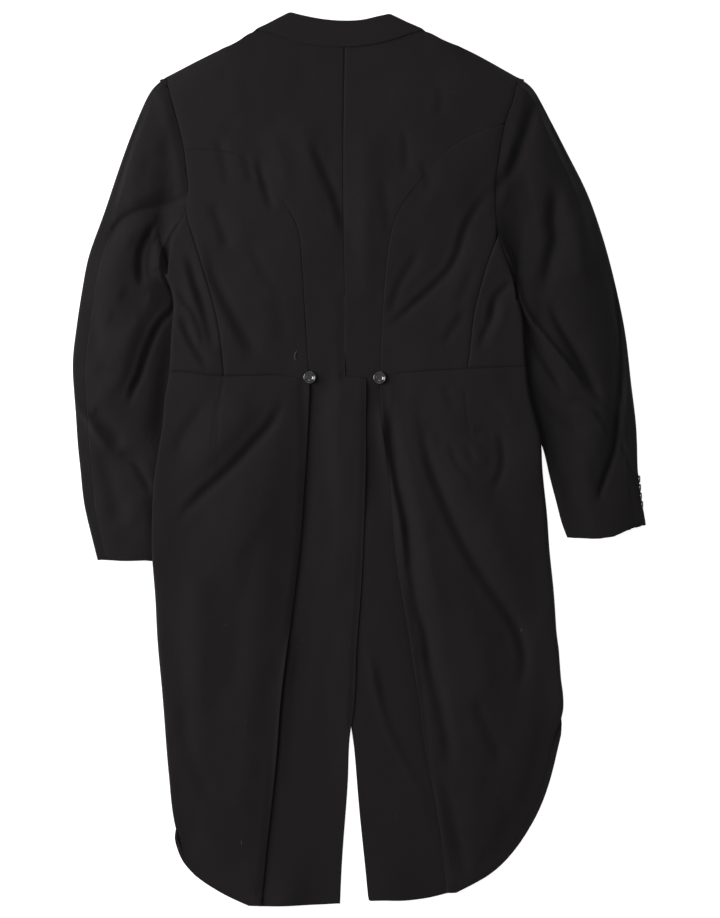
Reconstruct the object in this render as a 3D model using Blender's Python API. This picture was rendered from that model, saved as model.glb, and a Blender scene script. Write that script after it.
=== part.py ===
# Tailcoat laid flat, back up: sizes in millimetres, across from the centre back, down from the collar.
import math

import bpy
import numpy as np

# Driving sizes
WALL = 2.0
SEAM_GAP = 0.3
LAY_GAP = 0.35
LIE = WALL + LAY_GAP
YOKE_DOWN = 227.0
ARMPIT_DOWN = {"left": 331.0, "right": 363.0}
PLEAT_DEPTH = 34.0
PLEAT_TURN = 1.45
WAIST_BUTTON = 16.0
COLLAR_MIDDLE = 7.85
COLLAR_ROUND = 4.4
CUFF_BUTTON = 9.6
FRONT_BUTTON = 20.0
BODY_ROWS = 10

# Lines of the coat: across, down
CENTRE_BACK = ((0, 40), (-2, 161), (-2, 256), (0, 363), (0, 480))
WAIST = ((-240, 455), (-203, 454), (-164, 459), (-79, 458), (-57, 461), (0, 460), (26, 461),
         (43, 462), (54, 457), (116, 452), (176, 449), (224, 447), (250, 447))
HEM = ((-120, 1126), (-105, 1126), (-6, 1123), (30, 1119), (81, 1119), (98, 1116), (123, 1113),
       (129, 1110), (150, 1110))
COLLAR_BACK = ((-117, 26), (-105, 22), (-87, 23), (-60, 32), (-32, 37), (0, 40), (20, 39),
               (48, 34), (66, 28), (83, 23), (93, 22), (103, 26))
SHOULDER = {
    "left": ((-226, 83), (-181, 60), (-150, 45), (-134, 37), (-117, 26)),
    "right": ((218, 83), (176, 60), (146, 45), (126, 37), (103, 26)),
}
ARMHOLE_BACK = {
    "left": ((-226, 83), (-220, 105), (-213, 130), (-208, 149), (-202, 174)),
    "right": ((218, 83), (212, 111), (205, 130), (201, 142)),
}
ARMHOLE_SIDE = {
    "left": ((-202, 174), (-199, 205), (-197, 231), (-200, 252)),
    "right": ((201, 142), (195, 174), (192, 212), (189, 245), (193, 282)),
}
ARMHOLE_FORE = {
    "left": ((-200, 252), (-208, 265), (-218, 287), (-223, 315), (-226, 331)),
    "right": ((193, 282), (203, 310), (212, 338), (217, 363)),
}
PRINCESS_YOKE = {
    "left": ((-202, 174), (-170, 174), (-139, 179), (-120, 192), (-105, 208), (-92, 227)),
    "right": ((201, 142), (170, 152), (142, 166), (117, 186), (100, 206), (84, 227)),
}
PRINCESS = {
    "left": ((-92, 227), (-69, 253), (-59, 275), (-54, 312), (-51, 363), (-48, 413), (-45, 461)),
    "right": ((84, 227), (72, 243), (63, 262), (57, 284), (53, 310), (49, 355), (46, 413), (44, 461)),
}
SIDE_SEAM = {
    "left": ((-200, 252), (-185, 302), (-173, 340), (-161, 386), (-155, 426), (-152, 460)),
    "right": ((193, 282), (180, 315), (170, 350), (163, 378), (158, 420), (154, 452)),
}
SIDE_FOLD = {
    "left": ((-226, 331), (-218, 350), (-215, 369), (-218, 413), (-220, 455), (-226, 489),
             (-229, 527), (-236, 566), (-241, 615), (-242, 653), (-242, 683), (-241, 696),
             (-238, 741), (-236, 786), (-232, 832), (-228, 877), (-226, 907), (-222, 953),
             (-219, 983), (-215, 1013), (-212, 1041), (-206, 1085), (-200, 1130)),
    "right": ((217, 363), (222, 384), (224, 413), (226, 440), (229, 465), (233, 490), (246, 539),
              (247, 564), (249, 590), (253, 620), (255, 650), (257, 680), (262, 726), (267, 801),
              (272, 862), (273, 877), (277, 920), (282, 1000), (286, 1060), (290, 1130)),
}
CUT_AWAY = {
    "left": ((9, 461), (4, 489), (-19, 552), (-57, 640), (-105, 741), (-151, 842), (-189, 942),
             (-207, 1015), (-212, 1041)),
    "right": ((-9, 461), (-4, 489), (21, 539), (69, 615), (126, 690), (183, 753), (233, 816),
              (264, 858), (273, 877)),
}
SKIRT_CORNER = {
    "left": ((-212, 1041), (-209, 1058), (-200, 1074), (-186, 1089), (-168, 1104), (-144, 1116),
             (-129, 1123), (-121, 1126.5)),
    "right": ((273, 877), (272, 892), (268, 922), (261, 953), (251, 983), (239, 1013),
              (220, 1043), (197, 1074), (178, 1089), (151, 1104), (140, 1110.5)),
}
PLEAT = {
    "left": ((-45, 461), (-45, 470), (-48, 527), (-52, 590), (-57, 665), (-66, 743), (-76, 816),
             (-82, 867), (-87, 932), (-93, 995), (-100, 1058), (-106, 1126)),
    "right": ((44, 461), (45, 474), (47, 504), (54, 552), (58, 597), (63, 665), (67, 703),
              (79, 769), (88, 829), (97, 886), (102, 932), (110, 970), (120, 1027), (126, 1075),
              (129, 1110)),
}
VENT_LEFT = ((26, 461), (26, 520), (26, 552), (23, 665), (19, 743), (14, 806), (11, 886),
             (8, 902), (5, 922), (4, 968), (1, 998), (0, 1028), (-3, 1058), (-4, 1089), (-6, 1123))
VENT_RIGHT = ((0, 461), (0, 741), (3, 867), (9, 903), (11, 922), (14, 953), (16, 983),
              (19, 1013), (21, 1043), (24, 1058), (25, 1074), (28, 1104), (30, 1119))
FRONT_EDGE = {
    "left": ((-19, 331), (-5, 413), (9, 441), (9, 461)),
    "right": ((8, 363), (3, 413), (-9, 441), (-9, 461)),
}
NECK_FRONT = {
    "left": ((-117, 26), (-106.5, 43), (-95, 61.5), (-78, 86.5), (-58, 85)),
    "right": ((103, 26), (94, 43), (84, 61.5), (66, 86.5), (46, 85)),
}
ROLL_TOP = {
    "left": ((-58, 85), (-47, 161), (-32, 262), (-19, 331)),
    "right": ((46, 85), (37, 161), (22, 262), (8, 363)),
}
SLEEVE_OUTER = {
    "left": ((-226, 83), (-238, 91), (-247, 106), (-255, 121), (-273, 166), (-294, 227),
             (-304, 257), (-315, 287), (-325, 318), (-330, 348), (-335, 378), (-339, 408),
             (-343, 454), (-340, 484), (-338, 514), (-335, 559), (-331, 590), (-328, 620),
             (-321, 650), (-315, 675), (-311, 690)),
    "right": ((218, 83), (231, 91), (242, 106), (258, 136), (289, 197), (304, 227), (325, 287),
              (341, 348), (353, 408), (360, 469), (367, 529), (367, 559), (367.5, 590), (371.5, 620),
              (375.5, 635), (375, 646)),
}
SLEEVE_INNER = {
    "left": ((-221.5, 331), (-213, 363), (-205, 413), (-200, 489), (-205, 564), (-213, 689)),
    "right": ((212.5, 363), (210, 401), (215, 464), (231, 514), (248, 544), (260, 590),
              (268, 620), (276, 650), (281, 662)),
}
CUFF = {
    "left": ((-311, 690), (-272, 691), (-213, 689)),
    "right": ((375, 646), (355, 653), (338, 660), (326, 662), (309, 663), (281, 662)),
}
LAPEL_ROLL = {
    "left": ((-58, 86), (-47, 161), (-32, 262), (-15, 375), (-7, 425)),
    "right": ((46, 86), (37, 161), (22, 262), (7, 375), (1, 425)),
}
LAPEL_TOP = {
    "left": ((-58, 86), (-99, 101), (-155, 106)),
    "right": ((46, 86), (87, 101), (143, 106)),
}
LAPEL_EDGE = {
    "left": ((-155, 106), (-135, 190), (-88, 287), (-42, 375), (-9, 430)),
    "right": ((143, 106), (124, 190), (78, 287), (34, 375), (4, 430)),
}

# Collar stations: where the band turns, then base, folded top and fall edge as across and down
COLLAR_STATIONS = (
    # turn, base, top, fall
    (180, (-76, 84), (-58, 80), (-98, 96)),
    (180, (-94, 60), (-68, 50), (-118, 66)),
    (180, (-105, 42), (-76, 24), (-122, 44)),
    (150, (-110, 30), (-73, 9), (-112.5, 30.5)),
    (90, (-112, 24.5), (-71, 2.5), (-114.5, 25.2)),
    (30, (-110, 21), (-69, 1.5), (-111.3, 23)),
    (0, (-102, 19.5), (-67, 1.5), (-103, 24)),
    (0, (-87, 20), (-62, 3), (-87, 28)),
    (0, (-60, 29), (-50, 6), (-60, 37)),
    (0, (-32, 35), (-29, 10), (-32, 42)),
    (0, (-6, 38), (-3, 12), (-6, 44)),
    (0, (20, 37), (21, 11), (20, 43)),
    (0, (48, 31), (39, 7), (48, 38)),
    (0, (66, 25), (49, 5), (66, 33)),
    (0, (80, 20.5), (53, 4), (82, 27)),
    (0, (89, 19.5), (55, 3.5), (91, 25)),
    (30, (96, 21), (56, 3.5), (97.3, 23)),
    (90, (98, 24.5), (58, 4.5), (100.5, 25.2)),
    (150, (96, 30), (60, 10), (98.5, 30.5)),
    (180, (92, 42), (63, 26), (110, 44)),
    (180, (82, 60), (55, 50), (106, 66)),
    (180, (64, 84), (46, 80), (86, 96)),
)

# Height of the upper cloth over the table, by distance down and distance out from the centre
LOFT_OUT = (0.0, 45.0, 90.0, 135.0, 180.0, 215.0, 250.0, 290.0)
LOFT = (
    # down, heights at each distance out
    (20, 11.4, 11.4, 11.4, 12.0, 12.0, 12.0, 12.0, 12.0),
    (50, 11.9, 12.0, 12.2, 14.0, 16.0, 16.0, 15.0, 14.0),
    (110, 20.0, 21.0, 22.5, 22.0, 20.0, 17.0, 16.0, 15.0),
    (180, 25.0, 26.0, 26.5, 25.0, 22.0, 19.0, 17.0, 15.0),
    (260, 26.0, 26.5, 26.5, 25.0, 22.5, 19.0, 17.0, 15.0),
    (340, 21.0, 21.5, 22.0, 21.5, 20.0, 18.0, 17.0, 15.0),
    (410, 15.0, 15.5, 17.5, 18.5, 19.0, 18.5, 17.0, 15.0),
    (460, 12.0, 12.5, 15.5, 18.0, 19.0, 18.5, 17.5, 15.0),
    (520, 7.0, 12.5, 18.0, 20.5, 20.5, 19.0, 18.0, 15.0),
    (600, 5.5, 12.0, 18.5, 21.5, 21.0, 19.0, 18.0, 15.0),
    (690, 5.0, 11.0, 17.5, 20.0, 18.5, 16.0, 15.0, 12.0),
    (760, 4.5, 10.5, 15.5, 17.0, 14.5, 12.0, 10.5, 10.0),
    (880, 4.0, 9.5, 12.5, 13.0, 11.0, 9.5, 8.5, 8.0),
    (1000, 3.5, 8.0, 9.5, 9.0, 8.0, 7.0, 6.0, 5.0),
    (1126, 2.0, 5.0, 6.0, 5.5, 5.0, 4.5, 4.0, 4.0),
)

# Folds of the upper cloth: height (troughs below zero), half width, then across and down
BODY_FOLDS = (
    (-3.5, 13, ((-44, 155), (-19, 199), (-4, 256))),
    (2.5, 15, ((-60, 123), (-42, 190), (-26, 252))),
    (-2.5, 12, ((-107, 139), (-101, 205), (-93, 246))),
    (-2.0, 11, ((-161, 155), (-149, 205))),
    (-2.5, 11, ((-163, 242), (-147, 292))),
    (-3.0, 12, ((-164, 316), (-135, 369), (-116, 412), (-121, 435))),
    (-2.5, 11, ((-180, 350), (-166, 410))),
    (-3.0, 11, ((-203, 398), (-185, 426), (-164, 451))),
    (3.0, 12, ((-214, 353), (-192, 375), (-180, 394), (-174, 423), (-166, 440))),
    (-3.0, 12, ((-1, 237), (9, 287))),
    (2.5, 16, ((26, 149), (26, 363))),
    (-2.5, 12, ((69, 149), (74, 207))),
    (-3.0, 13, ((95, 292), (79, 325), (64, 360))),
    (-4.5, 15, ((238, 118), (215, 181), (195, 217), (175, 237), (158, 270), (140, 312),
                (120, 343), (95, 363), (57, 391), (48, 401))),
    (3.0, 16, ((170, 180), (140, 235), (112, 290))),
    (-3.5, 12, ((210, 341), (188, 364), (185, 384), (176, 406), (171, 421))),
    (-3.0, 12, ((145, 383), (137, 396), (126, 417))),
    (-5.5, 17, ((-82, 490), (-93, 518), (-121, 549), (-149, 582), (-180, 611), (-210, 641))),
    (3.5, 18, ((-118, 490), (-140, 525), (-175, 560), (-205, 590))),
    (-3.0, 15, ((-171, 496), (-203, 538), (-219, 580))),
    (3.0, 18, ((-105, 600), (-135, 660), (-165, 720))),
    (-2.5, 20, ((-125, 690), (-140, 800), (-148, 920))),
    (3.0, 20, ((-185, 700), (-190, 800), (-185, 900))),
    (-2.5, 16, ((-205, 730), (-208, 830), (-200, 930))),
    (-5.0, 13, ((57, 496), (60, 538), (66, 580), (73, 630), (82, 692), (86, 730), (101, 781),
                (103, 816), (116, 879), (126, 911))),
    (4.0, 14, ((80, 510), (86, 570), (94, 640), (105, 720), (122, 800))),
    (-3.0, 13, ((126, 970), (139, 1021), (145, 1071))),
    (-4.5, 17, ((93, 481), (105, 552), (121, 602), (149, 658), (176, 718), (202, 762),
                (223, 791), (223, 823), (214, 879))),
    (4.0, 18, ((130, 560), (160, 600), (190, 660), (222, 730))),
    (-4.0, 14, ((145, 528), (178, 524), (203, 556), (196, 596), (170, 606), (142, 582))),
    (3.0, 18, ((160, 760), (172, 850), (176, 940))),
    (-3.0, 16, ((173, 867), (185, 917), (208, 949))),
    (-2.5, 14, ((40, 804), (49, 860), (66, 905), (82, 949), (97, 993))),
    (2.0, 14, ((24, 600), (34, 720), (48, 840))),
    (-2.0, 13, ((-30, 560), (-34, 680), (-46, 800), (-54, 940))),
    (2.0, 13, ((-20, 700), (-28, 860), (-40, 1000))),
)
SLEEVE_FOLDS = {
    "left": (
        (-4.0, 14, ((-203, 239), (-233, 246), (-266, 251), (-286, 267), (-299, 287), (-309, 307))),
        (3.5, 15, ((-226, 215), (-262, 222), (-290, 240))),
        (-4.0, 13, ((-233, 262), (-248, 287), (-257, 314), (-256, 343))),
        (3.5, 14, ((-272, 290), (-286, 330), (-290, 380))),
        (-6.0, 15, ((-221, 348), (-214, 370), (-242, 403), (-253, 435), (-265, 474), (-272, 499))),
        (4.0, 15, ((-262, 380), (-282, 430), (-294, 480))),
        (4.5, 13, ((-335, 493), (-329, 507), (-309, 538))),
        (-5.0, 14, ((-318, 530), (-292, 547), (-284, 561), (-265, 572), (-253, 593))),
        (-3.0, 15, ((-290, 600), (-278, 640), (-270, 675))),
        (3.0, 14, ((-262, 620), (-250, 660))),
    ),
    "right": (
        (-4.5, 14, ((261, 222), (261, 257), (268, 287), (258, 325), (258, 345))),
        (3.5, 15, ((288, 240), (296, 300), (300, 350))),
        (5.0, 14, ((205, 300), (213, 341), (224, 375), (244, 403), (267, 435), (289, 465),
                   (311, 495))),
        (-5.5, 13, ((238, 355), (263, 390), (289, 426), (311, 479))),
        (-5.0, 13, ((234, 384), (250, 420), (261, 440))),
        (-4.5, 13, ((249, 481), (277, 513), (311, 541))),
        (4.0, 12, ((283, 501), (311, 510), (328, 532))),
        (-5.0, 14, ((334, 339), (345, 412), (348, 456), (345, 510), (340, 552), (330, 587),
                    (321, 611), (324, 622))),
        (3.5, 14, ((325, 470), (322, 530), (312, 580))),
        (-3.5, 13, ((270, 561), (283, 597), (302, 641))),
    ),
}

# Position of the buttons: across, down
WAIST_BUTTONS = {"left": (-44.5, 460.5), "right": (43.5, 461.0)}
CUFF_BUTTONS_RIGHT = ((588.5, 368.2), (599.2, 369.1), (609.9, 370.2), (620.6, 371.8))
CUFF_BUTTONS_LEFT = ((-313, 628), (-311, 640), (-308, 652), (-304, 664))


# Lines and patches
def through(points, steps=10):
    """Smooth line through the points, as many short steps between each two."""
    p = np.array(points, float)
    if len(p) == 2:
        return p[0] + np.linspace(0, 1, steps + 1)[:, None] * (p[1] - p[0])
    ends = np.vstack((2 * p[0] - p[1], p, 2 * p[-1] - p[-2]))
    line = []
    for a, b, c, d in zip(ends[:-3], ends[1:-2], ends[2:-1], ends[3:]):
        reach = np.linalg.norm(c - b)
        before = (c - a) / max(np.linalg.norm(b - a) + reach, 1e-9) * reach
        after = (d - b) / max(np.linalg.norm(d - c) + reach, 1e-9) * reach
        for t in np.arange(steps) / steps:
            line.append((2 * t ** 3 - 3 * t ** 2 + 1) * b + (t ** 3 - 2 * t ** 2 + t) * before
                        + (3 * t ** 2 - 2 * t ** 3) * c + (t ** 3 - t ** 2) * after)
    line.append(p[-1])
    return np.array(line)


def spaced(points, fractions):
    """Points at fractions of the length of a smooth line; a whole number asks for even steps."""
    line = through(points)
    length = np.concatenate(([0], np.cumsum(np.linalg.norm(np.diff(line, axis=0), axis=1))))
    if isinstance(fractions, int):
        fractions = np.linspace(0, 1, fractions + 1)
    at = np.asarray(fractions) * length[-1]
    return np.stack([np.interp(at, length, line[:, k]) for k in range(line.shape[1])], axis=1)


def joined(*lines):
    return np.vstack([lines[0]] + [line[1:] for line in lines[1:]])


def across_at(points, down):
    line = through(points)
    return np.interp(down, line[:, 1], line[:, 0])


def down_at(points, across):
    line = through(points)
    order = np.argsort(line[:, 0])
    return np.interp(across, line[order, 0], line[order, 1])


def eased(t):
    t = np.clip(t, 0, 1)
    return t * t * (3 - 2 * t)


def patch(top, bottom, left, right):
    """Grid of points between four lines that share their corners."""
    rows = len(left)
    cols = len(top)
    u = np.linspace(0, 1, cols)[None, :, None]
    v = np.linspace(0, 1, rows)[:, None, None]
    flat = ((1 - v) * top[None] + v * bottom[None] + (1 - u) * left[:, None] + u * right[:, None])
    corner = ((1 - u) * (1 - v) * top[0] + u * (1 - v) * top[-1]
              + (1 - u) * v * bottom[0] + u * v * bottom[-1])
    return flat - corner


def row_down(g, line, start=YOKE_DOWN, edge=WAIST):
    """Where a line across the coat at this fraction between two levels meets a seam."""
    down = start + g * 230.0
    for _ in range(6):
        across = across_at(line, down)
        low = down_at(edge, across)
        down = start + g * (low - start)
    return np.stack((across, down), axis=-1)


def skirt_point(f, line):
    """Meeting of a seam below the waist with the row at this fraction from waist to hem."""
    down = 460.0 + f * 660.0
    for _ in range(8):
        across = across_at(line, down)
        down = down_at(WAIST, across) * (1 - f) + down_at(HEM, across) * f
    return np.stack((across, down), axis=-1)


# Heights
def table_height(x, y):
    rows = np.array([row[0] for row in LOFT], float)
    grid = np.array([row[1:] for row in LOFT], float)
    out = np.clip(np.abs(x + 1.0), 0, LOFT_OUT[-1])
    y = np.clip(y, rows[0], rows[-1])
    i = np.clip(np.searchsorted(rows, y, side="right") - 1, 0, len(rows) - 2)
    j = np.clip(np.searchsorted(LOFT_OUT, out, side="right") - 1, 0, len(LOFT_OUT) - 2)
    outs = np.array(LOFT_OUT)
    v = eased((y - rows[i]) / (rows[i + 1] - rows[i])) * 0.6 + 0.4 * (y - rows[i]) / (rows[i + 1] - rows[i])
    u = (out - outs[j]) / (outs[j + 1] - outs[j])
    return ((grid[i, j] * (1 - u) + grid[i, j + 1] * u) * (1 - v)
            + (grid[i + 1, j] * (1 - u) + grid[i + 1, j + 1] * u) * v)


def relief(x, y, folds):
    total = np.zeros(np.shape(x))
    for height, half, points in folds:
        line = through(points, 6)
        along = np.linspace(0, 1, len(line))
        fade = eased(np.minimum(along, 1 - along) / 0.22) * 0.85 + 0.15
        gap = ((np.asarray(x)[..., None] - line[:, 0]) ** 2
               + (np.asarray(y)[..., None] - line[:, 1]) ** 2)
        near = np.argmin(gap, axis=-1)
        total = total + height * fade[near] * np.exp(-np.min(gap, axis=-1) / half ** 2)
    return total


def shoulder_down(x):
    left = through(SHOULDER["left"])
    right = through(SHOULDER["right"])[::-1]
    line = np.vstack((left, right))
    return np.interp(x, line[:, 0], line[:, 1])


def top_height(x, y):
    """Middle of the upper cloth: the loft, let down to the shoulder seams, with its folds."""
    base = table_height(x, y)
    below = np.clip((y - shoulder_down(x)) / 46.0, 0, 1)
    round_over = np.sqrt(1 - (1 - below) ** 2)
    at_neck = eased((np.abs(x + 7.0) - 96.0) / 16.0)
    round_over = 1 - at_neck * (1 - round_over)
    folded = relief(x, y, BODY_FOLDS) * eased((y - 70.0) / 60.0)
    return 3.9 + (base - 3.9) * round_over + folded * round_over


def tail_height(x, y, pleat_x):
    """Upper cloth of a tail: falls from the waist to lie on what is under it."""
    below = np.maximum(y - down_at(WAIST, x), 0.0)
    out = np.clip(np.abs(x) / np.maximum(np.abs(pleat_x), 1.0), 0, 1)
    drop = eased(below / (70.0 - 53.0 * eased(out)))
    low = 1.0 + 2.6 * eased((1090.0 - y) / 420.0) + relief(x, y, BODY_FOLDS) * 0.6
    return top_height(x, y) * (1 - drop) + low * drop


# What already lies on the table, as a grid of heights
CELL = 3.0
LOW_X = -360.0
LOW_Y = -10.0
WIDE = 252
LONG = 384


def bare_table():
    return np.zeros((LONG, WIDE))


def lay(table, points, half=WALL / 2):
    """Adds a grid of middle points to the heights on the table."""
    rows, cols = points.shape[:2]
    fine = 9
    i = np.linspace(0, rows - 1, (rows - 1) * fine + 1)
    j = np.linspace(0, cols - 1, (cols - 1) * fine + 1)
    i0 = np.minimum(i.astype(int), rows - 2)
    j0 = np.minimum(j.astype(int), cols - 2)
    v = (i - i0)[:, None, None]
    u = (j - j0)[None, :, None]
    p = (points[i0][:, j0] * (1 - u) * (1 - v) + points[i0][:, j0 + 1] * u * (1 - v)
         + points[i0 + 1][:, j0] * (1 - u) * v + points[i0 + 1][:, j0 + 1] * u * v)
    col = np.clip(((p[..., 0] - LOW_X) / CELL).round().astype(int), 0, WIDE - 1)
    row = np.clip(((p[..., 1] - LOW_Y) / CELL).round().astype(int), 0, LONG - 1)
    np.maximum.at(table, (row.ravel(), col.ravel()), p[..., 2].ravel() + half)


def spread(table, across, down):
    """Highest thing within a reach across and down, softened a little at its edges."""
    out = table.copy()
    for axis, reach in ((1, across), (0, down)):
        steps = int(round(reach / CELL))
        best = out.copy()
        for k in range(1, steps + 1):
            best = np.maximum(best, np.roll(out, k, axis=axis))
            best = np.maximum(best, np.roll(out, -k, axis=axis))
        out = best
    for axis in (1, 0):
        out = (np.roll(out, 1, axis=axis) + out + np.roll(out, -1, axis=axis)) / 3
    return np.maximum(out, 0.0)


def resting(table, x, y, across=16.0, down=34.0):
    """Middle height of cloth lying on what is there."""
    high = spread(table, across, down)
    col = np.clip((np.asarray(x) - LOW_X) / CELL, 0, WIDE - 1.001)
    row = np.clip((np.asarray(y) - LOW_Y) / CELL, 0, LONG - 1.001)
    i = row.astype(int)
    j = col.astype(int)
    v = row - i
    u = col - j
    z = (high[i, j] * (1 - u) * (1 - v) + high[i, j + 1] * u * (1 - v)
         + high[i + 1, j] * (1 - u) * v + high[i + 1, j + 1] * u * v)
    return z + WALL / 2 + np.where(z > 0.05, LAY_GAP, 0.0)


# Solids
def material(name, color, roughness, sheen=0.0, coat=0.0):
    mat = bpy.data.materials.new(name)
    mat.use_nodes = True
    shader = mat.node_tree.nodes["Principled BSDF"]
    shader.inputs["Base Color"].default_value = (*color, 1.0)
    shader.inputs["Roughness"].default_value = roughness
    shader.inputs["Sheen Weight"].default_value = sheen
    shader.inputs["Coat Weight"].default_value = coat
    return mat


def mesh_object(name, verts, faces, mat, smooth=False):
    moved = [(x / 1000, -y / 1000, max(z, 0.0) / 1000) for x, y, z in verts]
    place = np.array(moved)
    inside = 0.0
    for face in faces:
        for b, c in zip(face[1:-1], face[2:]):
            inside += np.dot(place[face[0]], np.cross(place[b], place[c]))
    if inside < 0:
        faces = [face[::-1] for face in faces]
    mesh = bpy.data.meshes.new(name)
    mesh.from_pydata(moved, [], faces)
    mesh.materials.append(mat)
    for face in mesh.polygons:
        face.use_smooth = smooth
    mesh.update()
    obj = bpy.data.objects.new(name, mesh)
    bpy.context.scene.collection.objects.link(obj)
    return obj


def cloth(name, grids, mat, gap=SEAM_GAP / 2):
    """Closed wall round one or more grids of middle points with their outward directions."""
    index = {}
    points = []
    outs = []
    quads = []
    for grid, out in grids:
        rows, cols = grid.shape[:2]
        ids = np.zeros((rows, cols), int)
        for i in range(rows):
            for j in range(cols):
                key = tuple(np.round(grid[i, j], 2))
                if key not in index:
                    index[key] = len(points)
                    points.append(grid[i, j])
                    outs.append(out[i, j])
                ids[i, j] = index[key]
        over = np.cross(grid[:-1, 1:] - grid[:-1, :-1], grid[1:, :-1] - grid[:-1, :-1])
        right_way = np.sum(over * out[:-1, :-1]) > 0
        for i in range(rows - 1):
            for j in range(cols - 1):
                quad = [ids[i, j], ids[i, j + 1], ids[i + 1, j + 1], ids[i + 1, j]]
                if not right_way:
                    quad = quad[::-1]
                if len(set(quad)) == 4:
                    quads.append(quad)
                elif len(set(quad)) == 3:
                    quads.append(list(dict.fromkeys(quad)))
    points = np.array(points)
    outs = np.array(outs)
    outs = outs / np.linalg.norm(outs, axis=1)[:, None]
    sides = {}
    for k, quad in enumerate(quads):
        for a, b in zip(quad, quad[1:] + quad[:1]):
            sides.setdefault((min(a, b), max(a, b)), []).append((a, b, k))
    rim = [found[0] for found in sides.values() if len(found) == 1]
    pull = np.zeros(points.shape)
    for a, b, k in rim:
        middle = points[quads[k]].mean(axis=0)
        edge = points[b] - points[a]
        inward = np.cross(outs[a] + outs[b], edge)
        inward = inward / max(np.linalg.norm(inward), 1e-9)
        if np.dot(inward, middle - points[a]) < 0:
            inward = -inward
        pull[a] += inward
        pull[b] += inward
    size = np.linalg.norm(pull, axis=1)
    edge_points = size > 1e-6
    pull[edge_points] /= size[edge_points][:, None]
    points = points + pull * gap
    count = len(points)
    upper = points + outs * WALL / 2
    lower = points - outs * WALL / 2
    faces = []
    for quad in quads:
        faces.append(list(quad))
        faces.append([v + count for v in quad[::-1]])
    for a, b, k in rim:
        faces.append([b, a, a + count, b + count])
    return mesh_object(name, np.vstack((upper, lower)), faces, mat)


def lift(plan, height):
    return np.concatenate((plan, np.asarray(height)[..., None]), axis=-1)


def facing(grid, z=1.0):
    out = np.zeros(grid.shape)
    out[..., 2] = z
    return out


def button(name, centre, down, base, size, thick, mat, axis="up"):
    """Turned button: rounded rim, dished middle, flat back."""
    r = size / 2
    profile = ((0.0, 0.0), (r * 0.8, 0.0), (r, thick * 0.4), (r * 0.97, thick * 0.8),
               (r * 0.82, thick), (r * 0.62, thick * 0.78), (0.0, thick * 0.72))
    around = 12
    verts = []
    for radius, height in profile:
        count = around if radius > 0 else 1
        for k in range(count):
            turn = 2 * math.pi * k / around
            a, b = radius * math.cos(turn), radius * math.sin(turn)
            if axis == "up":
                verts.append((centre + a, down + b, base + height))
            else:
                verts.append((centre + height, down + a, base + b))
    faces = []
    for k in range(around):
        faces.append([0, 1 + k, 1 + (k + 1) % around])
    for ring in range(len(profile) - 3):
        start = 1 + ring * around
        for k in range(around):
            n = (k + 1) % around
            faces.append([start + k, start + around + k, start + around + n, start + n])
    last = 1 + (len(profile) - 3) * around
    for k in range(around):
        faces.append([last + k, last + around, last + (k + 1) % around])
    return mesh_object(name, verts, faces, mat, True)


# Rows below the waist, as fractions of the way to the hem
SKIRT_ROWS = {
    "left": (0, 0.023, 0.05, 0.09, 0.135, 0.18, 0.23, 0.29, 0.35, 0.42, 0.49, 0.56, 0.63, 0.70,
             0.77, 0.83, 0.874, 0.91, 0.945, 0.975, 1.0),
    "right": (0, 0.023, 0.05, 0.09, 0.135, 0.18, 0.23, 0.29, 0.35, 0.42, 0.49, 0.56, 0.605,
              0.64, 0.70, 0.77, 0.83, 0.88, 0.925, 0.965, 1.0),
}
TAIL_STEPS = (0, 0.023, 0.05, 0.09, 0.14, 0.20, 0.27, 0.34, 0.41, 0.48, 0.55, 0.62, 0.69, 0.76,
              0.84, 0.92, 1.0)
FOLD_STEPS = 4
UNDER_COLS = 7
SIDE_COLS = 6
FORE_COLS = 5


def inward(side):
    return 1.0 if side == "left" else -1.0


def corner_down(side):
    return SKIRT_CORNER[side][0][1]


def armhole(side, shift=0.0):
    """The three parts of the armhole, its foot moved along by the shift."""
    back = spaced(ARMHOLE_BACK[side], 8)
    flank = spaced(ARMHOLE_SIDE[side], 3)
    fore = spaced(ARMHOLE_FORE[side], 5)
    fore[:, 0] += shift * np.linspace(0, 1, 6) ** 4
    return back, flank, fore


def fold_radius(side, x, y, table):
    """Radius of the side fold, from the height of the upper and under cloth beside it."""
    inside = x + inward(side) * 6.0
    over = top_height(inside, y)
    under = resting(table, inside, y, 24.0, 36.0)
    radius = np.clip((over - under) / 2, 2.3, 6.0)
    start = resting(table, x + inward(side) * radius, y, 24.0, 36.0)
    return radius, start


def half_turn(x, radius, low, side, turns):
    """Points and directions round a side fold, from the top of it to the bottom."""
    m = inward(side)
    centre = x + m * radius
    points = []
    outs = []
    for turn in turns:
        points.append(np.stack((centre - m * radius * np.sin(turn),
                                low + radius + radius * np.cos(turn)), axis=-1))
        outs.append(np.stack((-m * np.sin(turn) * np.ones(np.shape(x)), np.zeros(np.shape(x)),
                              np.cos(turn) * np.ones(np.shape(x))), axis=-1))
    return points, outs


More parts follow.
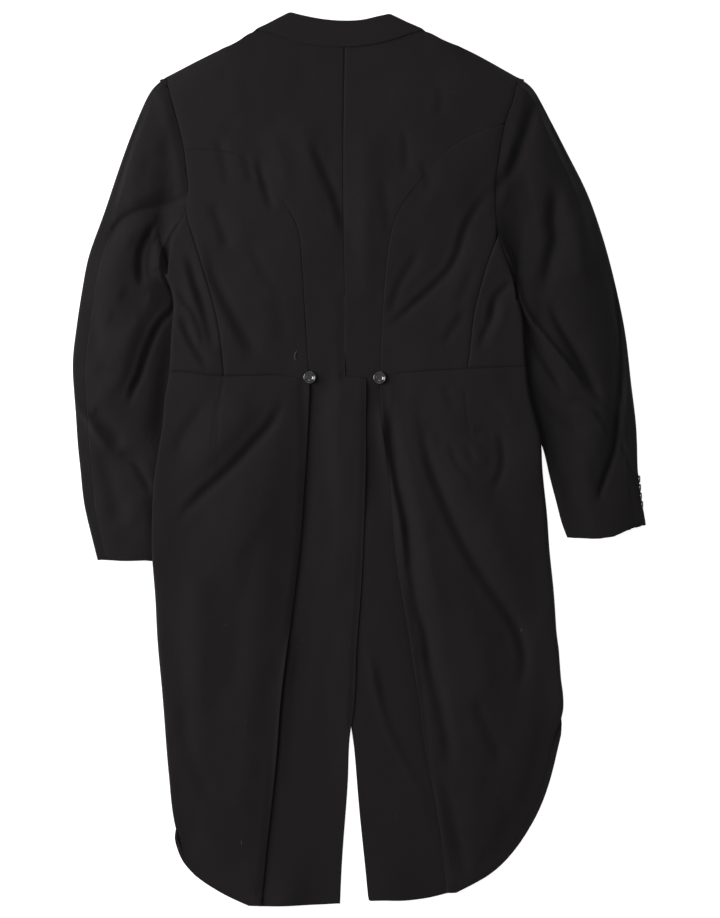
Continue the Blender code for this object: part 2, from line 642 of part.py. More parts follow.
def fore_under(side, table):
    """Under cloth of a forepart: from shoulder to armpit and from armpit to waist."""
    m = inward(side)
    pit = ARMPIT_DOWN[side]
    foot = np.array([ARMHOLE_FORE[side][-1]], float)
    radius, _ = fold_radius(side, foot[:, 0], foot[:, 1], table)
    back, flank, fore = armhole(side, m * radius[0])
    edge = joined(back, flank, fore)
    top = spaced(SHOULDER[side], UNDER_COLS)
    neck = joined(spaced(NECK_FRONT[side], 5), spaced(ROLL_TOP[side], 11))
    level = edge[-1] + np.linspace(0, 1, UNDER_COLS + 1)[:, None] * (neck[-1] - edge[-1])
    upper = patch(top, level, edge, neck)
    steps = np.linspace(0, 1, 8)
    fold = row_down(steps, SIDE_FOLD[side], pit)
    radii, _ = fold_radius(side, fold[:, 0], fold[:, 1], table)
    inner = fold.copy()
    inner[:, 0] += m * radii
    inner[0] = edge[-1]
    front = row_down(steps, FRONT_EDGE[side], pit)
    lower = np.zeros((8, UNDER_COLS + 1, 2))
    for k in range(UNDER_COLS + 1):
        u = k / UNDER_COLS
        lower[:, k, 0] = inner[:, 0] * (1 - u) + front[:, 0] * u
        lower[:, k, 1] = pit + steps * (down_at(WAIST, lower[:, k, 0]) - pit)
    lower[0] = level
    grids = []
    for plan in (upper, lower):
        grids.append(lift(plan, resting(table, plan[..., 0], plan[..., 1], 24.0, 36.0)))
    return grids, fold, radii


def fore_panel(side, grids, fold, radii, over_table, mat):
    """A whole forepart: under cloth, side fold and the strip of it that shows."""
    m = inward(side)
    upper, lower = grids
    low = lower[:, 0, 2]
    turns = np.linspace(0, math.pi, FOLD_STEPS + 1)
    points, outs = half_turn(fold[:, 0], radii, low, side, turns)
    turned = np.stack([np.stack((p[:, 0], lower[:, 0, 1], p[:, 1]), axis=1) for p in points], axis=1)
    turned_out = np.stack(outs, axis=1)
    turned[:, -1] = lower[:, 0]
    start = turned[:, 0, :2]
    rim = spaced(ARMHOLE_FORE[side], FORE_COLS)
    rim[:, 0] += m * radii[0] * np.linspace(0, 1, FORE_COLS + 1) ** 4
    top = rim[::-1]
    seam = np.vstack((row_side(side)))
    start = start.copy()
    start[0] = top[0]
    cols = np.linspace(0, 1, FORE_COLS + 1)
    bottom = np.zeros((FORE_COLS + 1, 2))
    bottom[:, 0] = start[-1, 0] * (1 - cols) + seam[-1, 0] * cols
    bottom[:, 1] = down_at(WAIST, bottom[:, 0])
    bottom[0] = start[-1]
    bottom[-1] = seam[-1]
    over = patch(top, bottom, start, seam)
    height = np.maximum(top_height(over[..., 0], over[..., 1]),
                        resting(over_table, over[..., 0], over[..., 1]))
    ease = eased(np.linspace(0, 1, FORE_COLS + 1) * 1.6)
    height = turned[:, :1, 2] * (1 - ease) + height * ease
    over = lift(over, height)
    turned[:, 0] = over[:, 0]
    parts = [(upper, facing(upper, -1.0)), (lower, facing(lower, -1.0)),
             (turned, turned_out), (over, facing(over))]
    return cloth("forepart_" + side, parts, mat), over


def row_side(side):
    """Side seam from the armhole to the waist seam."""
    seam = spaced(SIDE_SEAM[side], 7)
    seam[-1, 1] = down_at(WAIST, seam[-1, 0])
    return seam


def side_panel(side, over_table, mat):
    """Side body between the princess seam and the side seam."""
    yoke = spaced(PRINCESS_YOKE[side], SIDE_COLS)
    right = row_down(np.linspace(0, 1, BODY_ROWS + 1), PRINCESS[side])
    flank = spaced(ARMHOLE_SIDE[side], 3)
    left = joined(flank, row_side(side))
    cols = np.linspace(0, 1, SIDE_COLS + 1)
    bottom = np.zeros((SIDE_COLS + 1, 2))
    bottom[:, 0] = left[-1, 0] * (1 - cols) + right[-1, 0] * cols
    bottom[:, 1] = down_at(WAIST, bottom[:, 0])
    bottom[0] = left[-1]
    bottom[-1] = right[-1]
    plan = patch(yoke, bottom, left, right)
    height = np.maximum(top_height(plan[..., 0], plan[..., 1]),
                        resting(over_table, plan[..., 0], plan[..., 1]))
    grid = lift(plan, height)
    return cloth("side_body_" + side, [(grid, facing(grid))], mat), grid


def back_grids(side, table):
    """Back from neck to waist, then the tail with what it tucks under the skirt."""
    split = [p for p in COLLAR_BACK if (p[0] <= 0 if side == "left" else p[0] >= 0)]
    neck = split if side == "left" else split[::-1]
    top = joined(spaced(SHOULDER[side], 7), spaced(neck, 4))
    left = spaced(ARMHOLE_BACK[side], 8)
    stop = np.array([across_at(CENTRE_BACK, YOKE_DOWN), YOKE_DOWN])
    upper_centre = [p for p in CENTRE_BACK if p[1] < YOKE_DOWN - 20] + [tuple(stop)]
    right = spaced(upper_centre, 8)
    yoke = spaced(PRINCESS_YOKE[side], SIDE_COLS)
    level = yoke[-1] + np.linspace(0, 1, 6)[:, None] * (stop - yoke[-1])
    upper = patch(top, joined(yoke, level), left, right)
    steps = np.linspace(0, 1, BODY_ROWS + 1)
    outer = row_down(steps, PRINCESS[side])
    centre = row_down(steps, CENTRE_BACK)
    middle = np.zeros((BODY_ROWS + 1, 6, 2))
    for k in range(6):
        u = k / 5
        middle[:, k, 0] = outer[:, 0] * (1 - u) + centre[:, 0] * u
        middle[:, k, 1] = YOKE_DOWN + steps * (down_at(WAIST, middle[:, k, 0]) - YOKE_DOWN)
    middle[0] = level
    grids = []
    for plan in (upper, middle):
        height = np.maximum(top_height(plan[..., 0], plan[..., 1]),
                            resting(table, plan[..., 0], plan[..., 1], 16.0, 30.0))
        grids.append(lift(plan, height))
    out = -inward(side)
    rows = np.array(TAIL_STEPS)
    pleat = skirt_point(rows, PLEAT[side])
    below = pleat[:, 1] - down_at(WAIST, pleat[:, 0])
    tuck = PLEAT_DEPTH * eased((below - 16.0) / 55.0)
    room = np.abs(skirt_point(rows, SKIRT_CORNER[side])[:, 0] - pleat[:, 0]) - 12.0
    tuck = np.where(pleat[:, 1] > corner_down(side), np.minimum(tuck, np.maximum(room, 0.0)), tuck)
    if side == "left":
        vent = skirt_point(rows, VENT_LEFT)
        inner = np.minimum(0.0, vent[:, 0] - 1.5)
    else:
        inner = skirt_point(rows, VENT_RIGHT)[:, 0]
    columns = [pleat[:, 0] + out * tuck * (1 - k / 3) for k in range(3)]
    columns += [pleat[:, 0] * (1 - k / 5) + inner * k / 5 for k in range(6)]
    if side == "left":
        columns += [inner * (1 - k / 2) + vent[:, 0] * k / 2 for k in (1, 2)]
    plan = np.zeros((len(rows), len(columns), 2))
    for k, across in enumerate(columns):
        plan[:, k, 0] = across
        plan[:, k, 1] = down_at(WAIST, across) * (1 - rows) + down_at(HEM, across) * rows
    for k in range(3):
        same = tuck < 0.01
        plan[same, k] = plan[same, 3]
    height = np.maximum(tail_height(plan[..., 0], plan[..., 1], pleat[:, :1]),
                        resting(table, plan[..., 0], plan[..., 1], 14.0, 36.0))
    for k in range(3):
        height[:, k] = np.where(tuck < 0.01, height[:, 3],
                                resting(table, plan[:, k, 0], plan[:, k, 1], 14.0, 36.0))
    height[0, 3:9] = grids[1][-1, :, 2]
    tail = lift(plan, height)
    tail[0, 3:9, :2] = grids[1][-1, :, :2]
    tail[0, :3] = tail[0, 3]
    if side == "left":
        height_edge = height[0, 8]
        tail[0, 9:, 2] = np.maximum(tail[0, 9:, 2], height_edge)
    grids.append(tail)
    return grids


def under_skirt(side, table):
    """Front of a skirt, folded under, down to where the side fold ends."""
    rows = np.array([f for f in SKIRT_ROWS[side]])
    fold = skirt_point(rows, SIDE_FOLD[side])
    keep = fold[:, 1] < corner_down(side) - 8.0
    rows, fold = rows[keep], fold[keep]
    radii, low = fold_radius(side, fold[:, 0], fold[:, 1], table)
    start = fold[:, 0] + inward(side) * radii
    end = skirt_point(rows, CUT_AWAY[side])[:, 0]
    plan = np.zeros((len(rows), UNDER_COLS + 1, 2))
    for k in range(UNDER_COLS + 1):
        u = k / UNDER_COLS
        plan[:, k, 0] = start * (1 - u) + end * u
        plan[:, k, 1] = down_at(WAIST, plan[:, k, 0]) * (1 - rows) + down_at(HEM, plan[:, k, 0]) * rows
    return lift(plan, resting(table, plan[..., 0], plan[..., 1], 24.0, 36.0))


def skirt_panel(side, under_table, over_table, mat):
    """A whole skirt: pleat underlay, pleat edge, upper cloth, side fold and under cloth."""
    m = inward(side)
    out = -m
    rho = PLEAT_TURN
    corner = corner_down(side)
    waist_seam = row_side(side)[-1, 0]
    rows = np.array(SKIRT_ROWS[side])
    fold = skirt_point(rows, SIDE_FOLD[side])
    pleat = skirt_point(rows, PLEAT[side])
    edge_rows = skirt_point(rows, SKIRT_CORNER[side])
    cut = skirt_point(rows, CUT_AWAY[side])[:, 0]
    radii, low = fold_radius(side, fold[:, 0], fold[:, 1], under_table)
    fold_x0 = fold[0, 0] + m * radii[0]
    marks = [k / SIDE_COLS * (waist_seam - pleat[0, 0]) for k in range(SIDE_COLS)]
    marks += [(waist_seam - pleat[0, 0]) + k / FORE_COLS * (fold_x0 - waist_seam)
              for k in range(FORE_COLS + 1)]
    marks = np.abs(np.array(marks))
    marks = marks / marks[-1]
    points = []
    outs = []
    tops = []
    for i, f in enumerate(rows):
        x_pleat = pleat[i, 0]
        r = radii[i]
        y_here = fold[i, 1]
        width = abs(fold[i, 0] + m * r - x_pleat) - rho
        below = pleat[i, 1] - down_at(WAIST, x_pleat)
        tuck = PLEAT_DEPTH * eased((below - 10.0) / 60.0)
        if y_here > corner:
            tuck = min(tuck, max(abs(edge_rows[i, 0] - x_pleat) - 12.0, 0.5))
        bend = math.pi * rho * eased((below + 4.0) / 20.0) + 0.6
        bend = min(bend, math.pi * rho)
        past = y_here > corner - 4.0
        if not past:
            under = max(abs(cut[i] - (fold[i, 0] + m * r)), 3.0)
            total = width + math.pi * r + under
        elif y_here < corner + 4.0:
            total = width + math.pi / 2 * r
        else:
            total = abs(edge_rows[i, 0] - x_pleat) - rho
        flat = width
        if past:
            flat = total - min(9.0, total * 0.35)
        along = [-(bend + tuck * (1 - k / 3)) for k in range(3)]
        along += [-bend * (1 - k / 3) for k in range(3)]
        along += [mark * flat for mark in marks]
        if past:
            along += [flat + (total - flat) * k / (FOLD_STEPS + UNDER_COLS)
                      for k in range(1, FOLD_STEPS + UNDER_COLS + 1)]
        else:
            along += [width + math.pi * r * k / FOLD_STEPS for k in range(1, FOLD_STEPS + 1)]
            along += [width + math.pi * r + (total - width - math.pi * r) * k / UNDER_COLS
                      for k in range(1, UNDER_COLS + 1)]
        row_points = []
        row_outs = []
        for s in along:
            if s < 0:
                turn = min(-s / rho, math.pi)
                x = x_pleat + out * rho - out * rho * math.sin(turn)
                x += out * max(-s - math.pi * rho, 0.0)
                way = (-out * math.sin(turn), 0.0, math.cos(turn))
                kind = ("pleat", turn, x)
            elif s <= width:
                x = x_pleat + out * (rho + s)
                way = (0.0, 0.0, 1.0)
                kind = ("top", 0.0, x)
            elif s <= width + math.pi * r:
                turn = (s - width) / r
                x = fold[i, 0] + m * r - m * r * math.sin(turn)
                way = (-m * math.sin(turn), 0.0, math.cos(turn))
                kind = ("fold", turn, x)
            else:
                x = fold[i, 0] + m * r + m * (s - width - math.pi * r)
                way = (0.0, 0.0, -1.0)
                kind = ("under", math.pi, x)
            y = down_at(WAIST, x) * (1 - f) + down_at(HEM, x) * f
            z_low = resting(under_table, x, y, 24.0, 36.0) if kind[0] == "under" else low[i]
            if kind[0] in ("pleat", "top"):
                beside = x if kind[0] == "top" else max(abs(x), abs(x_pleat + out * rho)) * out
                y_top = down_at(WAIST, beside) * (1 - f) + down_at(HEM, beside) * f
                rest = resting(over_table, beside, y_top, 14.0, 36.0)
                z = top_height(beside, y_top)
                if past:
                    near = eased(max(total - max(s, 0.0), 0.0) / 46.0)
                    hem = eased((down_at(HEM, beside) - y_top) / 60.0) * 0.8 + 0.2
                    z = 1.0 + (z - 1.0) * near * hem
                in_pleat = 1.0 - eased((max(s, 0.0) - PLEAT_DEPTH - 14.0) / 18.0)
                z = max(z, rest + 2 * rho * in_pleat * eased((below + 6.0) / 20.0))
                to_fold = 1.0
                if not past:
                    to_fold = eased((width - max(s, 0.0)) / 26.0)
                z = (low[i] + 2 * r) * (1 - to_fold) + z * to_fold
                if kind[0] == "pleat":
                    z = z - rho + rho * math.cos(kind[1])
            elif kind[0] == "fold":
                z = low[i] + r + r * math.cos(kind[1])
            else:
                z = z_low
            row_points.append((x, y, float(z)))
            row_outs.append(way)
        points.append(row_points)
        outs.append(row_outs)
    grid = np.array(points)
    return cloth("skirt_" + side, [(grid, np.array(outs))], mat), grid


def tucked(table, side):
    """What lies under a skirt: leaves out the part of the tail that shows beside it."""
    found = table.copy()
    x = LOW_X + CELL * np.arange(WIDE)
    y = LOW_Y + CELL * np.arange(LONG)
    edge = across_at(PLEAT[side], np.clip(y, 461, 1126))
    out = -inward(side)
    beside = (x[None, :] - edge[:, None]) * out < -1.0
    early = (y < 461.0 + 13.0)[:, None] & (np.abs(x)[None, :] < 60.0)
    found[beside | early] = 0.0
    return found


def sleeve_grids(side, table):
    """Upper and under cloth of a sleeve, from the armhole to the cuff."""
    m = inward(side)
    back, flank, fore = armhole(side, m * 3.0)
    top = joined(back, flank)
    inner = spaced(SLEEVE_INNER[side], 15)
    inner[0] = fore[-1]
    right = joined(fore, inner)
    rows = len(right)
    even = np.linspace(0, 1, rows)
    left = spaced(SLEEVE_OUTER[side], 0.62 * even + 0.38 * even ** 1.5)
    bottom = spaced(CUFF[side], len(top) - 1)
    plan = patch(top, bottom, left, right)
    cols = plan.shape[1]
    u = np.linspace(0, 1, cols)
    way = plan[:, 1] - plan[:, 0]
    way = way / np.linalg.norm(way, axis=1)[:, None]
    back_way = plan[:, -1] - plan[:, -2]
    back_way = back_way / np.linalg.norm(back_way, axis=1)[:, None]
    row = np.arange(rows)
    outer_r = 1.3 + 4.2 * eased(row / 4.0)
    outer_r = outer_r - 1.0 * eased((row - 12.0) / 8.0)
    inner_r = 2.35
    turn_in = eased((row - 4.0) / 2.0)
    sharp = np.where(row < 2, 60.0, 6.0)[:, None]
    plan = plan + way[:, None] * (outer_r[:, None] * (1 - u) ** sharp)[..., None]
    pulled = inner_r * (turn_in + (1 - turn_in) * math.pi / 2 * 0.96)
    plan = plan - back_way[:, None] * (pulled[:, None] * u ** sharp)[..., None]
    low = resting(table, plan[..., 0], plan[..., 1], 14.0, 30.0)
    seam = top_height(top[:, 0], top[:, 1])
    seam[0] = low[0, 0] + 2 * outer_r[0]
    outer = low[:, 0] + 2 * outer_r
    fore_z = top_height(fore[:, 0], fore[:, 1])
    fall = np.linspace(0, 1, 6) ** 1.6
    fore_z = fore_z * (1 - fall) + (low[5, -1] + 2 * inner_r) * fall
    inside = np.concatenate((fore_z, low[6:, -1] + 2 * inner_r))
    cuff = low[-1, 0] + 2 * outer_r[-1]
    cuff = cuff * (1 - u) + inside[-1] * u + 3.0 * np.sin(math.pi * u)
    z = patch(lift(top * 0, seam)[:, 2:], cuff[:, None], outer[:, None], inside[:, None])[..., 0]
    v = row / (rows - 1)
    loft = 9.0 * eased(v * 4.0) * (1 - 0.45 * eased((v - 0.45) / 0.5))
    shape = np.sin(math.pi * np.clip(u, 0, 1) ** 0.8) ** 1.0
    shape = shape * (1 - eased((u - 0.62) / 0.25) * 0.9)
    z = z + loft[:, None] * shape
    folds = relief(plan[..., 0], plan[..., 1], SLEEVE_FOLDS[side])
    calm = eased(np.minimum(u * 7.0, (1 - u) * 5.0)) * eased(v * 6.0)[:, None]
    z = np.maximum(z + folds * calm, low + 2 * inner_r)
    return plan, z, low, way, back_way, outer_r, inner_r, turn_in


def sleeve_panels(side, table, mat):
    """Undersleeve on top as it lies, topsleeve round the outer edge and underneath."""
    plan, z, low, way, back_way, outer_r, inner_r, turn_in = sleeve_grids(side, table)
    rows = len(plan)
    over = lift(plan[:, 1:], z[:, 1:])
    over_out = facing(over)
    under = lift(plan, low)
    under_out = facing(under, -1.0)
    strip = lift(plan[:, :2], z[:, :2])
    strip_out = facing(strip)
    turned = []
    turned_out = []
    for turn in np.linspace(0, math.pi, 5):
        centre = plan[:, 0]
        spot = centre - way * (outer_r * math.sin(turn))[:, None]
        mid = (z[:, 0] + low[:, 0]) / 2
        half = (z[:, 0] - low[:, 0]) / 2
        turned.append(lift(spot, mid + half * math.cos(turn)))
        turned_out.append(lift(-way * math.sin(turn), np.full(rows, math.cos(turn))))
    turned = np.stack(turned, axis=1)
    turned_out = np.stack(turned_out, axis=1)
    ends = []
    for height, sign in ((z[:, -1], 1.0), (low[:, -1], -1.0)):
        spots = []
        outs = []
        for turn in (0.0, math.pi / 4, math.pi / 2 * 0.96):
            flat = inner_r * turn
            reach = turn_in * inner_r * math.sin(turn) + (1 - turn_in) * flat
            drop = turn_in * inner_r * (1 - math.cos(turn))
            spots.append(lift(plan[:, -1] + back_way * reach[:, None], height - sign * drop))
            tilt = turn_in * turn
            outs.append(np.concatenate((back_way * np.sin(tilt)[:, None],
                                        sign * np.cos(tilt)[:, None]), axis=1))
        ends.append((np.stack(spots, axis=1), np.stack(outs, axis=1)))
    top_parts = [(strip, strip_out), (turned, turned_out), (under, under_out), ends[1]]
    under_parts = [(over, over_out), ends[0]]
    cloth("sleeve_top_" + side, top_parts, mat)
    cloth("sleeve_under_" + side, under_parts, mat)
    return over, under, turned


def collar_panel(mat):
    """Stand and fall in one band, folded at its top edge and bent round the neck."""
    turn = np.array([s[0] for s in COLLAR_STATIONS], float)
    flat = np.array([[*s[1], *s[2], *s[3]] for s in COLLAR_STATIONS], float)
    count = len(turn)
    dense = flat
    turns = np.radians(turn)
    rho = (WALL + 0.45) / 2
    points = []
    outs = []
    for k in range(count):
        base = dense[k, 0:2]
        top = dense[k, 2:4]
        fall = dense[k, 4:6]
        sign = -1.0 if base[0] < -7 else 1.0
        across = np.array([sign * math.sin(turns[k]), 0.0, math.cos(turns[k])])
        up = top - base
        up = up / np.linalg.norm(up)
        up3 = np.array([up[0], up[1], 0.0])
        z_stand = COLLAR_MIDDLE + COLLAR_ROUND * math.cos(turns[k])
        start = np.array([base[0], base[1], z_stand])
        crest = np.array([top[0], top[1], z_stand]) - up3 * rho
        edge_z = COLLAR_MIDDLE + (COLLAR_ROUND + 2 * rho) * math.cos(turns[k])
        edge = np.array([fall[0], fall[1], edge_z])
        row = []
        way = []
        for u in (0.0, 1.0):
            row.append(start * (1 - u) + crest * u)
            way.append(-across)
        for bend in (math.pi / 3, math.pi * 2 / 3, math.pi):
            turned = math.sin(bend) * up3 - math.cos(bend) * across
            row.append(crest + rho * across + rho * turned)
            way.append(turned)
        shoulder = row[-1]
        for u in (0.5, 1.0):
            row.append(shoulder * (1 - u) + edge * u)
            way.append(across)
        points.append(row)
        outs.append(way)
    grid = np.array(points)
    cloth("collar", [(grid, np.array(outs))], mat)
    return grid


def lapel_panel(side, mat):
    """Lapel lying turned back under the forepart."""
    roll = spaced(LAPEL_ROLL[side], 10)
    edge = spaced(LAPEL_EDGE[side], 10)
    top = spaced(LAPEL_TOP[side], 5)
    bottom = roll[-1] + np.linspace(0, 1, 6)[:, None] * (edge[-1] - roll[-1])
    plan = patch(top, bottom, roll, edge)
    grid = lift(plan, np.full(plan.shape[:2], WALL / 2))
    cloth("lapel_" + side, [(grid, facing(grid, -1.0))], mat)
    return grid


def disc(down, across, radius, top):
    """A flat round of points, for what a button adds to the table."""
    turns = np.linspace(0, 2 * math.pi, 25)
    rings = np.linspace(0, radius, 5)
    x = across + rings[:, None] * np.cos(turns)[None]
    y = down + rings[:, None] * np.sin(turns)[None]
    return np.stack((x, y, np.full(x.shape, top)), axis=-1)


def only_under_body(table, side):
    """Keeps the part of a sleeve that the body lies on."""
    found = table.copy()
    x = LOW_X + CELL * np.arange(WIDE)
    y = LOW_Y + CELL * np.arange(LONG)
    fold = across_at(SIDE_FOLD[side], np.clip(y, ARMPIT_DOWN[side], 1120))
    inside = (x[None, :] - fold[:, None]) * inward(side)
    found[(inside < -4.0) | (y < ARMPIT_DOWN[side] + 16.0)[:, None]] = 0.0
    return found


def centred():
    """Moves everything so the middle of the underside is the origin."""
    objects = list(bpy.context.scene.collection.objects)
    every = np.array([vert.co for obj in objects for vert in obj.data.vertices])
    low = every.min(axis=0)
    high = every.max(axis=0)
    middle = ((low[0] + high[0]) / 2, (low[1] + high[1]) / 2, low[2])
    for obj in objects:
        for vert in obj.data.vertices:
            vert.co = [value - shift for value, shift in zip(vert.co, middle)]
        obj.data.update()


def build():
    for obj in list(bpy.data.objects):
        bpy.data.objects.remove(obj, do_unlink=True)
    wool = material("black_wool", (0.013, 0.0125, 0.0135), 0.92, sheen=0.25)
    facing_wool = material("black_wool_lapel", (0.012, 0.0115, 0.0125), 0.85, sheen=0.2)
    horn = material("black_button", (0.010, 0.010, 0.012), 0.16, coat=0.4)
    table = bare_table()
    button("front_button", 0.0, 443.0, 0.0, FRONT_BUTTON, 3.4, horn)
    lay(table, disc(443.0, 0.0, FRONT_BUTTON / 2, 3.4), 0.0)
    for number, (across, down) in enumerate(CUFF_BUTTONS_LEFT, 1):
        button("cuff_button_left_%d" % number, across + 12.0, down, 0.0, CUFF_BUTTON, 2.6, horn)
        lay(table, disc(down, across + 12.0, CUFF_BUTTON / 2, 2.6), 0.0)
    collar = collar_panel(wool)
    lay(table, collar[:5, 3:])
    lay(table, collar[-5:, 3:])
    for side in ("left", "right"):
        lay(table, lapel_panel(side, facing_wool))
    sleeves = bare_table()
    for side in ("left", "right"):
        over, under, turned = sleeve_panels(side, table, wool)
        one = bare_table()
        lay(one, over)
        lay(one, under)
        sleeves = np.maximum(sleeves, only_under_body(one, side))
    under_left = np.maximum(table, sleeves)
    fore_left, fold_left, radii_left = fore_under("left", under_left)
    under_right = under_left.copy()
    lay(under_right, fore_left[0])
    lay(under_right, fore_left[1])
    lay(under_right, under_skirt("left", under_left))
    fore_right, fold_right, radii_right = fore_under("right", under_right)
    over_table = under_right.copy()
    lay(over_table, fore_right[0])
    lay(over_table, fore_right[1])
    lay(over_table, under_skirt("right", under_right))
    fore_panel("left", fore_left, fold_left, radii_left, over_table, wool)
    fore_panel("right", fore_right, fold_right, radii_right, over_table, wool)
    side_panel("left", over_table, wool)
    side_panel("right", over_table, wool)
    back_right = back_grids("right", over_table)
    cloth("back_right", [(grid, facing(grid)) for grid in back_right], wool)
    tails = over_table.copy()
    lay(tails, back_right[2])
    back_left = back_grids("left", tails)
    cloth("back_left", [(grid, facing(grid)) for grid in back_left], wool)
    lay(tails, back_left[2])
    top = over_table.copy()
    for side, under in (("left", under_left), ("right", under_right)):
        _, grid = skirt_panel(side, under, tucked(tails, side), wool)
        lay(top, grid)
    lay(top, back_left[1])
    lay(top, back_right[1])
    lay(top, back_left[2])
    lay(top, back_right[2])
    for side in ("left", "right"):
        across, down = WAIST_BUTTONS[side]
        base = float(resting(top, across, down, 7.0, 7.0)) - WALL / 2
        button("waist_button_" + side, across, down, base, WAIST_BUTTON, 4.2, horn)
    for number, (down, across) in enumerate(CUFF_BUTTONS_RIGHT, 1):
        button("cuff_button_right_%d" % number, across + 1.4, down, 6.0, CUFF_BUTTON, 2.6, horn,
               axis="out")
    centred()


build()
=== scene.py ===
import math
import bmesh
import bpy
import numpy as np
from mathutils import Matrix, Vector
from mathutils.bvhtree import BVHTree


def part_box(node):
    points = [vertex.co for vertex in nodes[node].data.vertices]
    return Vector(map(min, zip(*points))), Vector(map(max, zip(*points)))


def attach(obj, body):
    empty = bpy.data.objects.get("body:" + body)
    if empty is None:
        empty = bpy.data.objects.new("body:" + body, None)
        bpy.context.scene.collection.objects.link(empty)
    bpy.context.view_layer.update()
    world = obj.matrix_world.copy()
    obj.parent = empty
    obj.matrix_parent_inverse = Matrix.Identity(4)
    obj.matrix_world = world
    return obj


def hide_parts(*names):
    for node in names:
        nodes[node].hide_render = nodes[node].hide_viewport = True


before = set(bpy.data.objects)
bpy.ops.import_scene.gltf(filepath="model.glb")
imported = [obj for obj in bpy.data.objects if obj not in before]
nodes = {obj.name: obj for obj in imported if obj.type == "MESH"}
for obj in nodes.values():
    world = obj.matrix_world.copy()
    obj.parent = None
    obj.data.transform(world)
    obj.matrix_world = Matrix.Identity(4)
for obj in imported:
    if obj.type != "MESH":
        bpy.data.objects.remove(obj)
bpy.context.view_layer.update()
print("frame loaded:", len(nodes), "nodes")

# Drawing places: millimetres across from the centre back and down from the collar.
# The two waist buttons say where that drawing lies in the frame.
leftLow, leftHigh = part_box("waist_button_left")
rightLow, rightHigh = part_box("waist_button_right")
acrossShift = -0.5 - 250 * (leftLow[0] + leftHigh[0] + rightLow[0] + rightHigh[0])
downShift = 460.75 + 250 * (leftLow[1] + leftHigh[1] + rightLow[1] + rightHigh[1])


def drawnPlace(co):
    # Metres in the frame to millimetres across and down in the drawing
    return np.stack((co[:, 0] * 1000 + acrossShift, downShift - co[:, 1] * 1000), axis=1)


def framePlace(drawn):
    # Millimetres in the drawing back to metres in the frame
    return np.stack((drawn[..., 0] - acrossShift, downShift - drawn[..., 1]), axis=-1) / 1000


